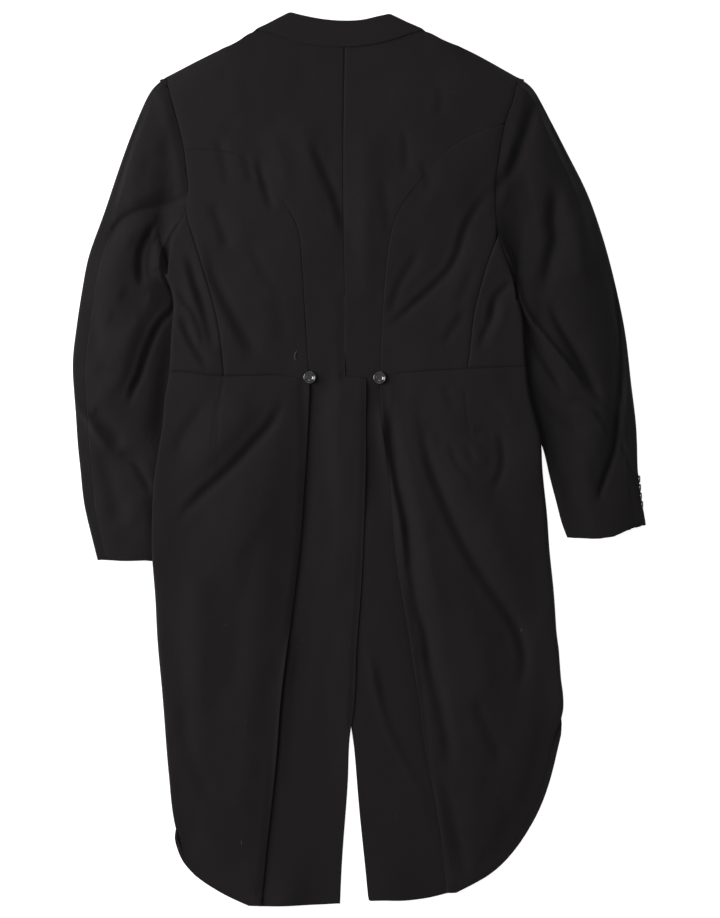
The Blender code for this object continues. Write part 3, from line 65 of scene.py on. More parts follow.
# Creases, in mm: depth, below zero for a trough; half width; lip on one side; then points across and down
bodyCreases = (
    # beside the centre back
    (-1.9, 6, 0.6, ((-43, 156), (-33, 183), (-20, 212), (-10, 237), (-3, 265), (0, 287))),
    (1.0, 14, 0, ((-62, 126), (-49, 168), (-37, 212), (-24, 252))),
    # over the shoulder blade
    (-1.0, 6, 0.3, ((-160, 154), (-152, 186), (-146, 224))),
    (-0.9, 6, 0.3, ((-129, 174), (-121, 194), (-115, 219))),
    (-1.7, 5.5, 0.4, ((-110, 181), (-102, 212), (-92, 244), (-87, 255))),
    (-0.9, 11, 0, ((-165, 144), (-142, 149), (-117, 154), (-92, 146), (-77, 126))),
    (0.8, 10, 0, ((-92, 146), (-82, 186), (-69, 222))),
    (-2.0, 7, 0.4, ((-168, 239), (-158, 262), (-150, 285), (-147, 305))),
    (0.8, 9, 0, ((-142, 232), (-132, 265), (-125, 300))),
    (-0.7, 7, 0.3, ((-120, 287), (-105, 320), (-87, 348), (-72, 365))),
    # blade to waist
    (-2.8, 9, 0.9, ((-176, 302), (-163, 338), (-145, 373), (-129, 401), (-117, 421), (-111, 441))),
    (1.4, 9, 0, ((-193, 282), (-179, 315), (-164, 353), (-147, 386), (-135, 413))),
    # side body
    (-3.6, 6, 1.0, ((-199, 300), (-192, 323), (-183, 355), (-174, 388), (-166, 416), (-161, 431))),
    (-2.2, 4, 0.8, ((-218, 350), (-205, 360), (-193, 373), (-185, 391), (-179, 411), (-174, 428))),
    (-2.4, 4.5, 0.9, ((-208, 381), (-199, 401), (-189, 421), (-178, 438), (-166, 451))),
    (1.2, 6, 0, ((-205, 343), (-188, 360), (-175, 386), (-165, 413))),
    (-0.7, 9, 0, ((-87, 345), (-79, 386), (-73, 426))),
    (0.7, 12, 0, ((-110, 353), (-102, 388), (-94, 426))),
    # right of the centre
    (-0.8, 7, 0.3, ((47, 209), (54, 249), (58, 292))),
    (1.0, 12, 0, ((25, 146), (26, 212), (26, 287), (24, 363))),
    (-0.9, 6, 0.3, ((74, 146), (78, 174), (78, 207))),
    (-0.8, 7, 0.2, ((120, 93), (122, 113), (117, 136))),
    (-0.8, 5, 0.2, ((97, 186), (103, 207), (110, 227))),
    (-1.3, 6, 0.5, ((97, 300), (84, 320), (72, 340), (62, 365), (57, 386))),
    (0.9, 10, 0, ((127, 174), (120, 212), (105, 244), (87, 277))),
    # long drag line
    (-3.0, 7, 0.6, ((243, 103), (233, 136), (224, 164), (212, 195), (199, 214), (183, 232))),
    (-2.2, 5, 0.8, ((195, 217), (180, 232), (166, 248), (152, 273), (142, 307), (130, 328), (110, 349),
        (87, 370), (67, 388), (47, 406))),
    (0.8, 14, 0, ((175, 265), (163, 300), (147, 335), (125, 363))),
    # under the arm
    (-2.4, 4.5, 0.7, ((213, 339), (200, 350), (189, 363), (185, 378), (184, 391))),
    (-1.8, 4.5, 0.6, ((190, 363), (183, 391), (175, 408), (168, 426))),
    (1.4, 6, 0, ((203, 363), (198, 381), (190, 401), (180, 421))),
    (-1.3, 6, 0.4, ((152, 375), (142, 393), (132, 408), (123, 423))),
    (-0.9, 7, 0.3, ((163, 315), (152, 348), (140, 375))),
    # skirt drag line
    (-2.8, 6, 0.9, ((-77, 481), (-82, 501), (-94, 522), (-112, 542), (-132, 564), (-155, 587), (-178, 607),
        (-198, 627), (-213, 648))),
    (1.0, 18, 0, ((-112, 486), (-132, 519), (-160, 552), (-188, 582))),
    (-0.8, 7, 0.3, ((-174, 491), (-188, 512), (-203, 534), (-214, 562))),
    (0.8, 14, 0, ((-97, 587), (-115, 640), (-132, 698), (-142, 753))),
    (-0.8, 13, 0, ((-105, 640), (-125, 690), (-135, 766), (-137, 867))),
    (0.7, 16, 0, ((-183, 690), (-188, 791), (-185, 892))),
    (-1.0, 9, 0.3, ((-205, 854), (-200, 905), (-188, 948), (-173, 980), (-163, 1000))),
    (-0.8, 8, 0.2, ((-142, 897), (-127, 917), (-110, 930))),
    (0.7, 14, 0, ((-105, 766), (-117, 867), (-125, 968), (-127, 1056))),
    # shade of the left pleat
    (-1.0, 6, 0, ((-42, 539), (-43, 590), (-47, 640), (-52, 685), (-58, 728), (-64, 779))),
    (0.7, 9, 0, ((-24, 514), (-24, 590), (-29, 665), (-37, 766))),
    (-0.7, 9, 0, ((-9, 479), (-6, 527), (-11, 590), (-16, 690))),
    (-0.7, 10, 0, ((-19, 741), (-24, 842), (-34, 942), (-42, 1043))),
    # right tail, which lies low, so that it shows as a ridge
    (7.0, 6.0, 0, ((29, 796), (34, 828), (41, 863), (50, 893), (64, 926), (81, 959), (97, 989), (104, 1014))),
    (5.0, 7.0, 0, ((-66, 770), (-74, 850), (-80, 930), (-84, 1010))),
    (-1.8, 8, 0.4, ((37, 801), (42, 832), (49, 867), (58, 897), (72, 930), (89, 963), (105, 993), (112,
        1018))),
    (-0.7, 8, 0, ((34, 479), (37, 527), (40, 590), (47, 665))),
    (-0.7, 9, 0, ((44, 968), (57, 1018), (72, 1068))),
    # beside the right pleat
    (2.4, 5.0, 0, ((45, 484), (47, 509), (49, 534), (54, 564), (60, 600), (68, 635), (73, 673), (77, 711))),
    (-3.6, 7.0, 0.8, ((55, 484), (58, 509), (59, 534), (63, 564), (69, 600), (77, 635), (82, 673), (86,
        711))),
    (-3.2, 7.5, 0.6, ((79, 665), (86, 711), (92, 748), (102, 781), (107, 816), (111, 842))),
    (-2.6, 8, 0.5, ((105, 791), (111, 832), (120, 867), (127, 900), (132, 932), (135, 958))),
    (-1.7, 9, 0.3, ((122, 958), (132, 995), (142, 1036), (150, 1076), (155, 1099))),
    (1.2, 9, 0, ((72, 504), (77, 544), (84, 590), (94, 640), (105, 698), (117, 753))),
    # long drag line of the skirt
    (-3.0, 7, 0.7, ((89, 479), (94, 507), (101, 539), (108, 570), (121, 602), (139, 645), (161, 688), (188,
        730), (210, 762), (223, 791), (227, 819), (220, 854), (213, 874))),
    (1.2, 16, 0, ((120, 557), (140, 597), (165, 640), (193, 685), (220, 723), (243, 761))),
    (-1.4, 8, 0.4, ((163, 859), (175, 892), (188, 920), (203, 948))),
    (0.8, 14, 0, ((158, 741), (170, 804), (180, 867))),
    # dimples over the hip
    (-1.3, 5, 0.4, ((190, 524), (198, 544), (199, 570), (192, 592), (178, 607))),
    (-1.2, 5, 0.3, ((132, 537), (136, 554), (145, 572), (160, 587), (173, 590))),
    (1.0, 6, 0, ((158, 544), (170, 559), (180, 570))),
    (-1.0, 4.5, 0, ((152, 547), (158, 557), (163, 567))),
    (-1.0, 5, 0.3, ((163, 532), (175, 527), (188, 532))),
    (-0.9, 6, 0.2, ((125, 469), (132, 486), (141, 501))),
    (-1.0, 9, 0.2, ((100, 514), (115, 529), (127, 549))),
    (-0.8, 7, 0, ((175, 491), (193, 501), (205, 519))),
    (0.8, 16, 0, ((158, 942), (165, 993), (175, 1043))),
    (-0.9, 12, 0.2, ((246, 791), (253, 867), (243, 942), (220, 1005))),
    (-0.8, 10, 0.2, ((195, 980), (205, 1018), (200, 1056))),
)
leftSleeveCreases = (
    (-3.0, 3.5, 0, ((-224, 336), (-220, 346), (-215, 357), (-214, 367), (-218, 379), (-226, 388))),
    # armhole to the outer arm
    (-2.2, 5, 0, ((-193, 237), (-208, 239), (-223, 243), (-243, 247), (-262, 253), (-278, 262), (-291,
        277), (-297, 300))),
    (1.4, 9, 0, ((-208, 219), (-233, 227), (-258, 236), (-281, 247))),
    (1.2, 9, 0, ((-226, 260), (-248, 267), (-268, 280), (-281, 300))),
    (-4.4, 4.0, 0, ((-233, 263), (-241, 271), (-249, 285), (-256, 300), (-258, 318), (-257, 335), (-252, 350))),
    (-2.6, 9, 0, ((-238, 277), (-246, 300), (-248, 323), (-246, 345))),
    (1.6, 7, 0, ((-233, 287), (-236, 307), (-233, 328))),
    (-1.4, 10, 0, ((-284, 353), (-266, 360), (-246, 363))),
    (-1.0, 10, 0, ((-299, 383), (-281, 391), (-261, 388))),
    # deep fold at the inner arm
    (-3.6, 4, 1.0, ((-214, 358), (-217, 375), (-232, 392), (-243, 413), (-251, 435), (-258, 457), (-266, 476),
        (-271, 499))),
    (-4.2, 15, 0, ((-203, 353), (-208, 388), (-217, 426), (-224, 470), (-229, 514), (-233, 564))),
    (1.4, 12, 0, ((-258, 386), (-271, 420), (-281, 454), (-289, 489))),
    # elbow
    (2.2, 5, 0, ((-340, 484), (-334, 499), (-324, 513), (-314, 528), (-301, 547), (-287, 559))),
    (-2.6, 8, 0, ((-319, 496), (-304, 514), (-289, 534), (-281, 552))),
    (-2.2, 5, 0, ((-291, 554), (-278, 559), (-267, 564), (-258, 577), (-248, 597), (-243, 610))),
    (-1.2, 10, 0.4, ((-309, 539), (-299, 577), (-289, 615), (-278, 650))),
    (0.9, 10, 0, ((-263, 602), (-268, 627), (-273, 653))),
    (-0.9, 8, 0, ((-319, 363), (-314, 401), (-314, 438))),
    (-0.9, 9, 0, ((-246, 174), (-251, 202), (-261, 224))),
    (0.9, 10, 0, ((-223, 123), (-233, 161), (-243, 192))),
    (-0.9, 9, 0, ((-314, 446), (-296, 454), (-278, 449))),
)
rightSleeveCreases = (
    # shoulder to the inner arm
    (-3.4, 9, 0.5, ((266, 212), (265, 237), (263, 265), (266, 285), (260, 310), (255, 335), (251, 360))),
    (1.2, 12, 0, ((289, 244), (294, 277), (296, 310), (296, 343))),
    (1.2, 10, 0, ((228, 224), (231, 262), (233, 297))),
    # long ridge to the elbow
    (3.4, 3.6, 0, ((192, 272), (199, 292), (210, 320), (218, 353), (228, 379), (247, 404), (268, 431),
        (289, 457), (306, 486))),
    (-3.2, 6.5, 0, ((257, 356), (266, 383), (278, 406), (291, 428), (306, 459), (319, 486), (324, 501))),
    (-3.2, 6.5, 0, ((217, 372), (228, 396), (241, 421), (256, 444), (268, 464), (278, 484))),
    (-1.8, 6, 0, ((236, 469), (253, 491), (271, 509), (291, 523), (311, 534))),
    # elbow
    (1.4, 4, 0, ((278, 499), (296, 503), (311, 509), (323, 523), (330, 539))),
    (-1.6, 4.5, 0, ((276, 489), (296, 491), (314, 499), (326, 514))),
    # hind arm
    (-2.2, 4, 0.6, ((334, 325), (339, 353), (344, 383), (348, 426), (348, 474), (344, 514))),
    (-3.2, 4, 0, ((346, 489), (343, 519), (338, 554), (329, 582), (321, 607), (320, 622))),
    (1.0, 6, 0, ((355, 464), (354, 501), (349, 539))),
    (-1.4, 8, 0.3, ((261, 539), (268, 567), (277, 595), (289, 625))),
    (0.9, 10, 0, ((296, 554), (306, 585), (314, 615))),
    (-0.9, 8, 0, ((253, 514), (266, 549), (271, 577))),
    (-0.9, 9, 0, ((246, 174), (266, 197), (289, 217))),
    (0.8, 9, 0, ((220, 134), (215, 161), (205, 189))),
    (-0.9, 8, 0, ((306, 262), (314, 300), (319, 338))),
)


# Pressed seams and edges, which sink a little, in mm: depth, half width, points
seamLines = (
    (-0.2, 3.0, ((0, 40), (-2, 161), (-2, 256), (0, 363), (0, 452))),
    (-0.1, 3.0, ((-202, 174), (-170, 174), (-139, 179), (-120, 192), (-105, 208), (-92, 227))),
    (-0.25, 3.0, ((-92, 227), (-69, 253), (-59, 275), (-54, 312), (-51, 363), (-48, 413), (-45, 455))),
    (-0.1, 3.0, ((201, 142), (170, 152), (142, 166), (117, 186), (100, 206), (84, 227))),
    (-0.25, 3.0, ((84, 227), (72, 243), (63, 262), (57, 284), (53, 310), (49, 355), (46, 413), (44, 455))),
    (-1.0, 3.5, ((-200, 252), (-185, 302), (-173, 340), (-161, 386), (-155, 426), (-152, 458))),
    (-1.0, 3.5, ((193, 282), (180, 315), (170, 350), (163, 378), (158, 420), (154, 450))),
    (-1.0, 4.0, ((-226, 83), (-220, 105), (-213, 130), (-208, 149), (-202, 174), (-199, 205),
                 (-197, 231), (-200, 252), (-208, 265), (-218, 287), (-223, 315))),
    (-1.0, 4.0, ((218, 83), (212, 111), (205, 130), (201, 142), (195, 174), (192, 212), (189, 245),
                 (193, 282), (203, 310), (212, 338))),
    (-0.5, 3.0, ((-238, 455), (-212, 454), (-164, 459), (-79, 458), (-64, 460))),
    (-0.5, 3.0, ((60, 457), (116, 452), (176, 449), (226, 447), (248, 447))),
)
# The sleeves' hind seams
armSeams = (
    (-0.1, 3.0, ((-232, 96), (-238.6, 109), (-249, 132), (-267, 181), (-275, 207), (-291, 262), (-300, 291),
                 (-309, 320), (-314, 351), (-323, 415), (-326, 448), (-325, 481), (-321, 550), (-315, 620),
                 (-307.5, 655), (-299.5, 690))),
    (-0.1, 3.0, ((226, 92), (232, 104), (253, 148), (264, 171), (285.5, 219), (296, 245), (313, 300), (328, 358),
                 (335, 389), (345, 451), (349, 483), (353, 515), (356, 582), (359, 616), (364, 650))),
)
# Darts below the waist seam
darts = (
    (-0.9, 2.2, ((-152, 460), (-157, 489), (-161, 545))),
    (-0.7, 2.2, ((-160, 489), (-164, 520), (-168, 550))),
    (-0.8, 2.2, ((151, 478), (155, 520), (159, 540))),
)
# The right cuff's vent, and the rolled edge of the left armhole seam, which loops round under it
cuffVent = ((-1.5, 2.4, ((348, 542), (358, 568), (366, 595), (372, 621), (377, 643))),)
armLoop = ((1.6, 2.6, ((-203, 257), (-217, 273), (-227, 291), (-233, 310), (-233, 326), (-229, 339), (-220, 343))),)
# Fold edges pressed thin: how much the wall loses there, how far in it starts, points; a list for each node
thinEdges = {
    "skirt_left": ((1.3, 10.0, ((-53, 458), (-53, 470), (-50, 539), (-57, 688), (-71, 791), (-84, 906),
                                (-105, 1110))),),
    "back_left": ((0.9, 12.0, ((-1, 360), (-1, 410), (0, 458))),
                  (1.1, 8.0, ((-2, 459), (26, 461))),
                  (1.1, 8.0, ((26, 458), (26, 539), (21, 688), (13, 814), (9, 900)))),
    "skirt_right": ((0.8, 7.0, ((50, 462), (54, 539), (66, 688), (87, 770), (110, 974), (130, 1100))),),
}
# The skirts are pressed down on the tails at their pleats: pleat line, then places down and the fall there
pleatPress = {
    "skirt_left": (((-45, 480), (-46, 500), (-48, 540), (-52, 600), (-57, 660), (-63, 720), (-78, 840), (-90, 960),
                    (-102, 1080), (-106, 1115)),
                   (470, 480, 500, 540, 600, 660, 720, 780, 840, 900, 960, 1020, 1115),
                   (0.0, 0.6, 1.4, 3.3, 4.4, 4.0, 4.5, 4.9, 4.9, 4.5, 3.5, 2.2, 2.0)),
    "skirt_right": (((45, 480), (46, 500), (52, 540), (58, 600), (62, 660), (70, 720), (89, 840), (108, 960),
                     (126, 1080), (132, 1115)),
                    (470, 500, 540, 600, 660, 720, 780, 840, 900, 960, 1020, 1115),
                    (0.0, 0.8, 1.9, 1.3, 3.0, 3.2, 2.6, 2.0, 3.0, 2.6, 0.0, 0.0)),
}
# Outer edges eased out a little to the line in the photograph: side, how far in it starts, places down, mm out there
edgeEase = {
    "skirt_right": (1, 30.0, (780, 791, 804, 842, 861, 879, 898, 917, 936, 974, 1012, 1050, 1090, 1106),
                    (0.0, 0.6, 1.6, 1.4, 2.5, 4.4, 4.4, 2.6, 1.8, 2.5, 3.4, 3.4, 2.0, 0.0)),
    "skirt_left": (-1, 25.0, (968, 998, 1013, 1028, 1043, 1058, 1074, 1089, 1106),
                   (0.0, 1.0, 1.7, 3.0, 1.7, 1.8, 2.8, 2.8, 0.0)),
    "sleeve_top_right": (1, 9.0, (539, 577, 592, 607, 622, 638, 653), (0.0, 1.2, 2.0, 2.7, 3.0, 3.4, 3.4)),
}
# The fullness at each sleeve head
sleeveHeads = (
    (1.6, 7.0, ((-236, 92), (-230, 112), (-222, 140), (-214, 172), (-209, 205), (-207, 235))),
    (1.6, 7.0, ((229, 92), (222, 118), (213, 142), (206, 174), (203, 212), (200, 245))),
)


def smoothLine(points, step=3.0):
    # Curve through the points: each stretch is a cubic whose slopes come from the neighbouring points
    p = np.array(points, float)
    ends = np.vstack((2 * p[0] - p[1], p, 2 * p[-1] - p[-2]))
    made = []
    for a, b, c, d in zip(ends[:-3], ends[1:-2], ends[2:-1], ends[3:]):
        reach = np.linalg.norm(c - b)
        t = np.linspace(0, 1, max(int(reach / step), 2), endpoint=False)[:, None]
        before = (c - a) / max(np.linalg.norm(b - a) + reach, 1e-6) * reach
        after = (d - b) / max(np.linalg.norm(d - c) + reach, 1e-6) * reach
        made.append((2 * t ** 3 - 3 * t ** 2 + 1) * b + (t ** 3 - 2 * t ** 2 + t) * before
                    + (3 * t ** 2 - 2 * t ** 3) * c + (t ** 3 - t ** 2) * after)
    made.append(p[-1:])
    return np.vstack(made)


seamCurves = [smoothLine(points, 4.0) for depth, width, points in seamLines + armSeams]
seamSpots = np.vstack(seamCurves)
# How far each wall is pressed towards its seam, in mm, one number for each row of seamLines and armSeams
pressedShut = (0.20, 0.23, 0.20, 0.23, 0.20, 0.20, 0.20, 0.02, 0.12, 0.14, 0.14, 0.24, 0.24)
seamPress = np.repeat(pressedShut, [len(curve) for curve in seamCurves])


def eased(t):
    t = np.clip(t, 0, 1)
    return t * t * (3 - 2 * t)


def alongLine(spots, points, reach):
    # Signed distance from each spot to the line and how far along it, for the spots within reach
    line = smoothLine(points)
    low = line.min(axis=0) - reach
    high = line.max(axis=0) + reach
    near = np.nonzero(np.all((spots > low) & (spots < high), axis=1))[0]
    gap = spots[near][:, None, :] - line[None, :, :]
    square = (gap ** 2).sum(axis=2)
    best = square.argmin(axis=1)
    way = np.gradient(line, axis=0)
    way = way / np.maximum(np.linalg.norm(way, axis=1), 1e-9)[:, None]
    row = np.arange(len(near))
    chosen = gap[row, best]
    side = way[best, 0] * chosen[:, 1] - way[best, 1] * chosen[:, 0]
    distance = np.sqrt(square[row, best]) * np.sign(side)
    return near, distance, best / (len(line) - 1)


def creaseHeight(spots, creases):
    # depth * exp(-(s/w)^2) across the line, plus a lip beside it: |lip| * exp(-((s -+ 1.7w)/w)^2)
    total = np.zeros(len(spots))
    for depth, width, lip, points in creases:
        near, s, along = alongLine(spots, points, 4 * width)
        fade = eased(np.minimum(along, 1 - along) / 0.24)
        shape = depth * np.exp(-(s / width) ** 2)
        shape = shape + abs(lip) * np.exp(-((s - np.sign(lip) * 1.7 * width) / width) ** 2)
        total[near] += shape * fade
    return total


def seamHeight(spots, rows):
    # depth * exp(-(s/w)^2), held to the ends of the line
    total = np.zeros(len(spots))
    for depth, width, points in rows:
        near, s, along = alongLine(spots, points, 4 * width)
        total[near] += depth * np.exp(-(s / width) ** 2) * eased(np.minimum(along, 1 - along) / 0.04)
    return total


def softWaves(spots, seed, shortest=26.0, longest=120.0, count=26):
    # Sum of sine waves in scattered directions, higher where longer: the unevenness of laid cloth
    scatter = np.random.default_rng(seed)
    length = shortest * (longest / shortest) ** scatter.random(count)
    turn = scatter.random(count) * math.pi
    shift = scatter.random(count) * 2 * math.pi
    wave = np.stack((np.cos(turn), np.sin(turn))) * (2 * math.pi / length)
    height = length / longest
    return (np.sin(spots @ wave + shift) * height).sum(axis=1) / math.sqrt((height ** 2).sum() / 2)


# Shader node groups
def newGroup(name, inputs, outputs):
    group = bpy.data.node_groups.new(name, "ShaderNodeTree")
    for label, kind, value in inputs:
        socket = group.interface.new_socket(name=label, in_out="INPUT", socket_type=kind)
        if value is not None:
            socket.default_value = value
    for label, kind in outputs:
        group.interface.new_socket(name=label, in_out="OUTPUT", socket_type=kind)
    start = group.nodes.new("NodeGroupInput")
    end = group.nodes.new("NodeGroupOutput")
    return group, start, end


def mathNode(tree, how, first, second=None):
    node = tree.nodes.new("ShaderNodeMath")
    node.operation = how
    for k, value in enumerate((first, second)):
        if value is None:
            continue
        if isinstance(value, (int, float)):
            node.inputs[k].default_value = value
        else:
            tree.links.new(value, node.inputs[k])
    return node.outputs[0]


def plus(tree, first, second):
    return mathNode(tree, "ADD", first, second)


def minus(tree, first, second):
    return mathNode(tree, "SUBTRACT", first, second)


def times(tree, first, second):
    return mathNode(tree, "MULTIPLY", first, second)


def noiseNode(tree, vector, scale, detail=3.0, rough=0.55):
    node = tree.nodes.new("ShaderNodeTexNoise")
    node.inputs["Scale"].default_value = scale
    node.inputs["Detail"].default_value = detail
    node.inputs["Roughness"].default_value = rough
    tree.links.new(vector, node.inputs["Vector"])
    return node.outputs["Fac"]


twillLook = dict(ribLean=0.82, crossLean=1.25, crossPitch=1.7, ribHeight=0.34, crossHeight=0.16, napScale=1400.0,
                 shade=0.12)


def twillGroup(look):
    # Woollen twill: ribs run on the diagonal, broken by the crossing yarns and by a fine nap
    group, start, end = newGroup("woolTwill", [("Vector", "NodeSocketVector", None),
                                               ("Pitch", "NodeSocketFloat", 0.0011),
                                               ("Nap", "NodeSocketFloat", 0.5)],
                                 [("Height", "NodeSocketFloat"), ("Shade", "NodeSocketFloat")])
    parts = group.nodes.new("ShaderNodeSeparateXYZ")
    group.links.new(start.outputs["Vector"], parts.inputs[0])
    x, y = parts.outputs[0], parts.outputs[1]
    turn = mathNode(group, "DIVIDE", 2 * math.pi, start.outputs["Pitch"])
    ribWay = plus(group, x, times(group, y, look["ribLean"]))
    rib = mathNode(group, "SINE", times(group, ribWay, turn))
    crossWay = minus(group, x, times(group, y, look["crossLean"]))
    cross = mathNode(group, "SINE", times(group, crossWay, times(group, turn, look["crossPitch"])))
    nap = noiseNode(group, start.outputs["Vector"], look["napScale"], 2.0, 0.6)
    woven = plus(group, times(group, rib, look["ribHeight"]), times(group, cross, look["crossHeight"]))
    fuzzy = times(group, minus(group, nap, 0.5), start.outputs["Nap"])
    height = plus(group, plus(group, woven, 0.5), fuzzy)
    group.links.new(height, end.inputs["Height"])
    group.links.new(times(group, minus(group, height, 0.5), look["shade"]), end.inputs["Shade"])
    return group


# scale and share of each: broad clouds, hand-sized patches and short streaks along the grain
toneLook = dict(broad=9.0, broadShare=0.30, patchy=62.0, patchyShare=0.45, streak=(260.0, 34.0, 120.0),
                streakShare=0.25)


def clothToneGroup(look):
    # Uneven dye and pressing: 1 + 2 * Amount * (the three noises, each by its share, less a half)
    group, start, end = newGroup("clothTone", [("Vector", "NodeSocketVector", None),
                                               ("Amount", "NodeSocketFloat", 0.2)],
                                 [("Tone", "NodeSocketFloat"), ("Pressed", "NodeSocketFloat")])
    vector = start.outputs["Vector"]
    broad = noiseNode(group, vector, look["broad"], 2.0)
    patchy = noiseNode(group, vector, look["patchy"], 4.0, 0.65)
    streakMap = group.nodes.new("ShaderNodeMapping")
    streakMap.inputs["Scale"].default_value = look["streak"]
    group.links.new(vector, streakMap.inputs["Vector"])
    streak = noiseNode(group, streakMap.outputs[0], 1.0, 2.0)
    smaller = plus(group, times(group, patchy, look["patchyShare"]), times(group, streak, look["streakShare"]))
    mixed = plus(group, times(group, broad, look["broadShare"]), smaller)
    swing = times(group, start.outputs["Amount"], 2.0)
    group.links.new(plus(group, 1.0, times(group, minus(group, mixed, 0.5), swing)), end.inputs["Tone"])
    group.links.new(patchy, end.inputs["Pressed"])
    return group


# dots, then short fibres: cells to the metre, stretch, size as a share of a cell, and a shift that sets them apart
lintLook = ((42.0, (1.0, 1.0, 1.0), 0.030, 0.0), (30.0, (1.0, 0.22, 1.0), 0.018, 3.7))


def lintGroup(rows):
    # Lint: a few stray pale dots and short fibres, only in some cells of a scattered grid
    group, start, end = newGroup("straysOfLint", [("Vector", "NodeSocketVector", None),
                                                  ("Share", "NodeSocketFloat", 0.06)],
                                 [("Lint", "NodeSocketFloat")])
    masks = []
    for scale, stretch, size, seed in rows:
        move = group.nodes.new("ShaderNodeMapping")
        move.inputs["Location"].default_value = (seed, seed * 0.6, 0.0)
        move.inputs["Rotation"].default_value = (0.0, 0.0, seed)
        move.inputs["Scale"].default_value = stretch
        group.links.new(start.outputs["Vector"], move.inputs["Vector"])
        cells = group.nodes.new("ShaderNodeTexVoronoi")
        cells.inputs["Scale"].default_value = scale
        group.links.new(move.outputs[0], cells.inputs["Vector"])
        hue = group.nodes.new("ShaderNodeSeparateColor")
        group.links.new(cells.outputs["Color"], hue.inputs[0])
        chosen = mathNode(group, "LESS_THAN", hue.outputs[0], start.outputs["Share"])
        inside = mathNode(group, "LESS_THAN", cells.outputs["Distance"], size)
        masks.append(times(group, chosen, inside))
    group.links.new(mathNode(group, "MAXIMUM", masks[0], masks[1]), end.inputs["Lint"])
    return group


twill = twillGroup(twillLook)
clothTone = clothToneGroup(toneLook)
strayLint = lintGroup(lintLook)


def placeGroup(tree, group, **values):
    node = tree.nodes.new("ShaderNodeGroup")
    node.node_tree = group
    for label, value in values.items():
        node.inputs[label].default_value = value
    return node


def woolMaterial(name, look):
    mat = bpy.data.materials.new(name)
    mat.use_nodes = True
    tree = mat.node_tree
    shader = tree.nodes["Principled BSDF"]
    uv = tree.nodes.new("ShaderNodeUVMap")
    uv.uv_map = "grain"
    place = tree.nodes.new("ShaderNodeTexCoord")
    weave = placeGroup(tree, twill, Pitch=look["pitch"], Nap=look["nap"])
    tone = placeGroup(tree, clothTone, Amount=look["unevenness"])
    lint = placeGroup(tree, strayLint, Share=look["lint"])
    tree.links.new(uv.outputs[0], weave.inputs["Vector"])
    tree.links.new(place.outputs["Object"], tone.inputs["Vector"])
    tree.links.new(place.outputs["Object"], lint.inputs["Vector"])
    strength = plus(tree, tone.outputs["Tone"], weave.outputs["Shade"])
    tinted = tree.nodes.new("ShaderNodeMix")
    tinted.data_type = "RGBA"
    tinted.blend_type = "MIX"
    dark = [c * 0.4 for c in look["colour"]]
    light = [c * 1.6 for c in look["colour"]]
    tinted.inputs["A"].default_value = (*dark, 1)
    tinted.inputs["B"].default_value = (*light, 1)
    tree.links.new(times(tree, strength, 0.5), tinted.inputs["Factor"])
    speck = tree.nodes.new("ShaderNodeMix")
    speck.data_type = "RGBA"
    speck.inputs["B"].default_value = (*look["lintColour"], 1)
    tree.links.new(tinted.outputs["Result"], speck.inputs["A"])
    tree.links.new(lint.outputs["Lint"], speck.inputs["Factor"])
    tree.links.new(speck.outputs["Result"], shader.inputs["Base Color"])
    pressed = times(tree, minus(tree, tone.outputs["Pressed"], 0.5), look["polish"])
    tree.links.new(plus(tree, look["roughness"], pressed), shader.inputs["Roughness"])
    bump = tree.nodes.new("ShaderNodeBump")
    bump.inputs["Strength"].default_value = look["relief"]
    bump.inputs["Distance"].default_value = look["yarn"]
    tree.links.new(weave.outputs["Height"], bump.inputs["Height"])
    tree.links.new(bump.outputs[0], shader.inputs["Normal"])
    shader.inputs["Specular IOR Level"].default_value = look["specular"]
    shader.inputs["Sheen Weight"].default_value = look["sheen"]
    shader.inputs["Sheen Roughness"].default_value = look["sheenRoughness"]
    shader.inputs["Sheen Tint"].default_value = (*look["sheenTint"], 1)
    return mat


def buttonMaterial(name, look):
    mat = bpy.data.materials.new(name)
    mat.use_nodes = True
    tree = mat.node_tree
    shader = tree.nodes["Principled BSDF"]
    place = tree.nodes.new("ShaderNodeTexCoord")
    cloud = noiseNode(tree, place.outputs["Object"], look["cloud"], 3.0)
    scratch = noiseNode(tree, place.outputs["Object"], look["scratch"], 2.0, 0.7)
    ramp = tree.nodes.new("ShaderNodeMix")
    ramp.data_type = "RGBA"
    ramp.inputs["A"].default_value = (*look["colour"], 1)
    ramp.inputs["B"].default_value = (*look["streak"], 1)
    tree.links.new(times(tree, minus(tree, cloud, 0.42), 1.4), ramp.inputs["Factor"])
    tree.links.new(ramp.outputs["Result"], shader.inputs["Base Color"])
    tree.links.new(plus(tree, look["roughness"], times(tree, scratch, look["wear"])), shader.inputs["Roughness"])
    bump = tree.nodes.new("ShaderNodeBump")
    bump.inputs["Strength"].default_value = look["relief"]
    bump.inputs["Distance"].default_value = look["grainTall"]
    tree.links.new(cloud, bump.inputs["Height"])
    tree.links.new(bump.outputs[0], shader.inputs["Normal"])
    shader.inputs["Coat Weight"].default_value = look["coat"]
    shader.inputs["Specular IOR Level"].default_value = look["specular"]
    shader.inputs["Coat Roughness"].default_value = look["coatRoughness"]
    return mat


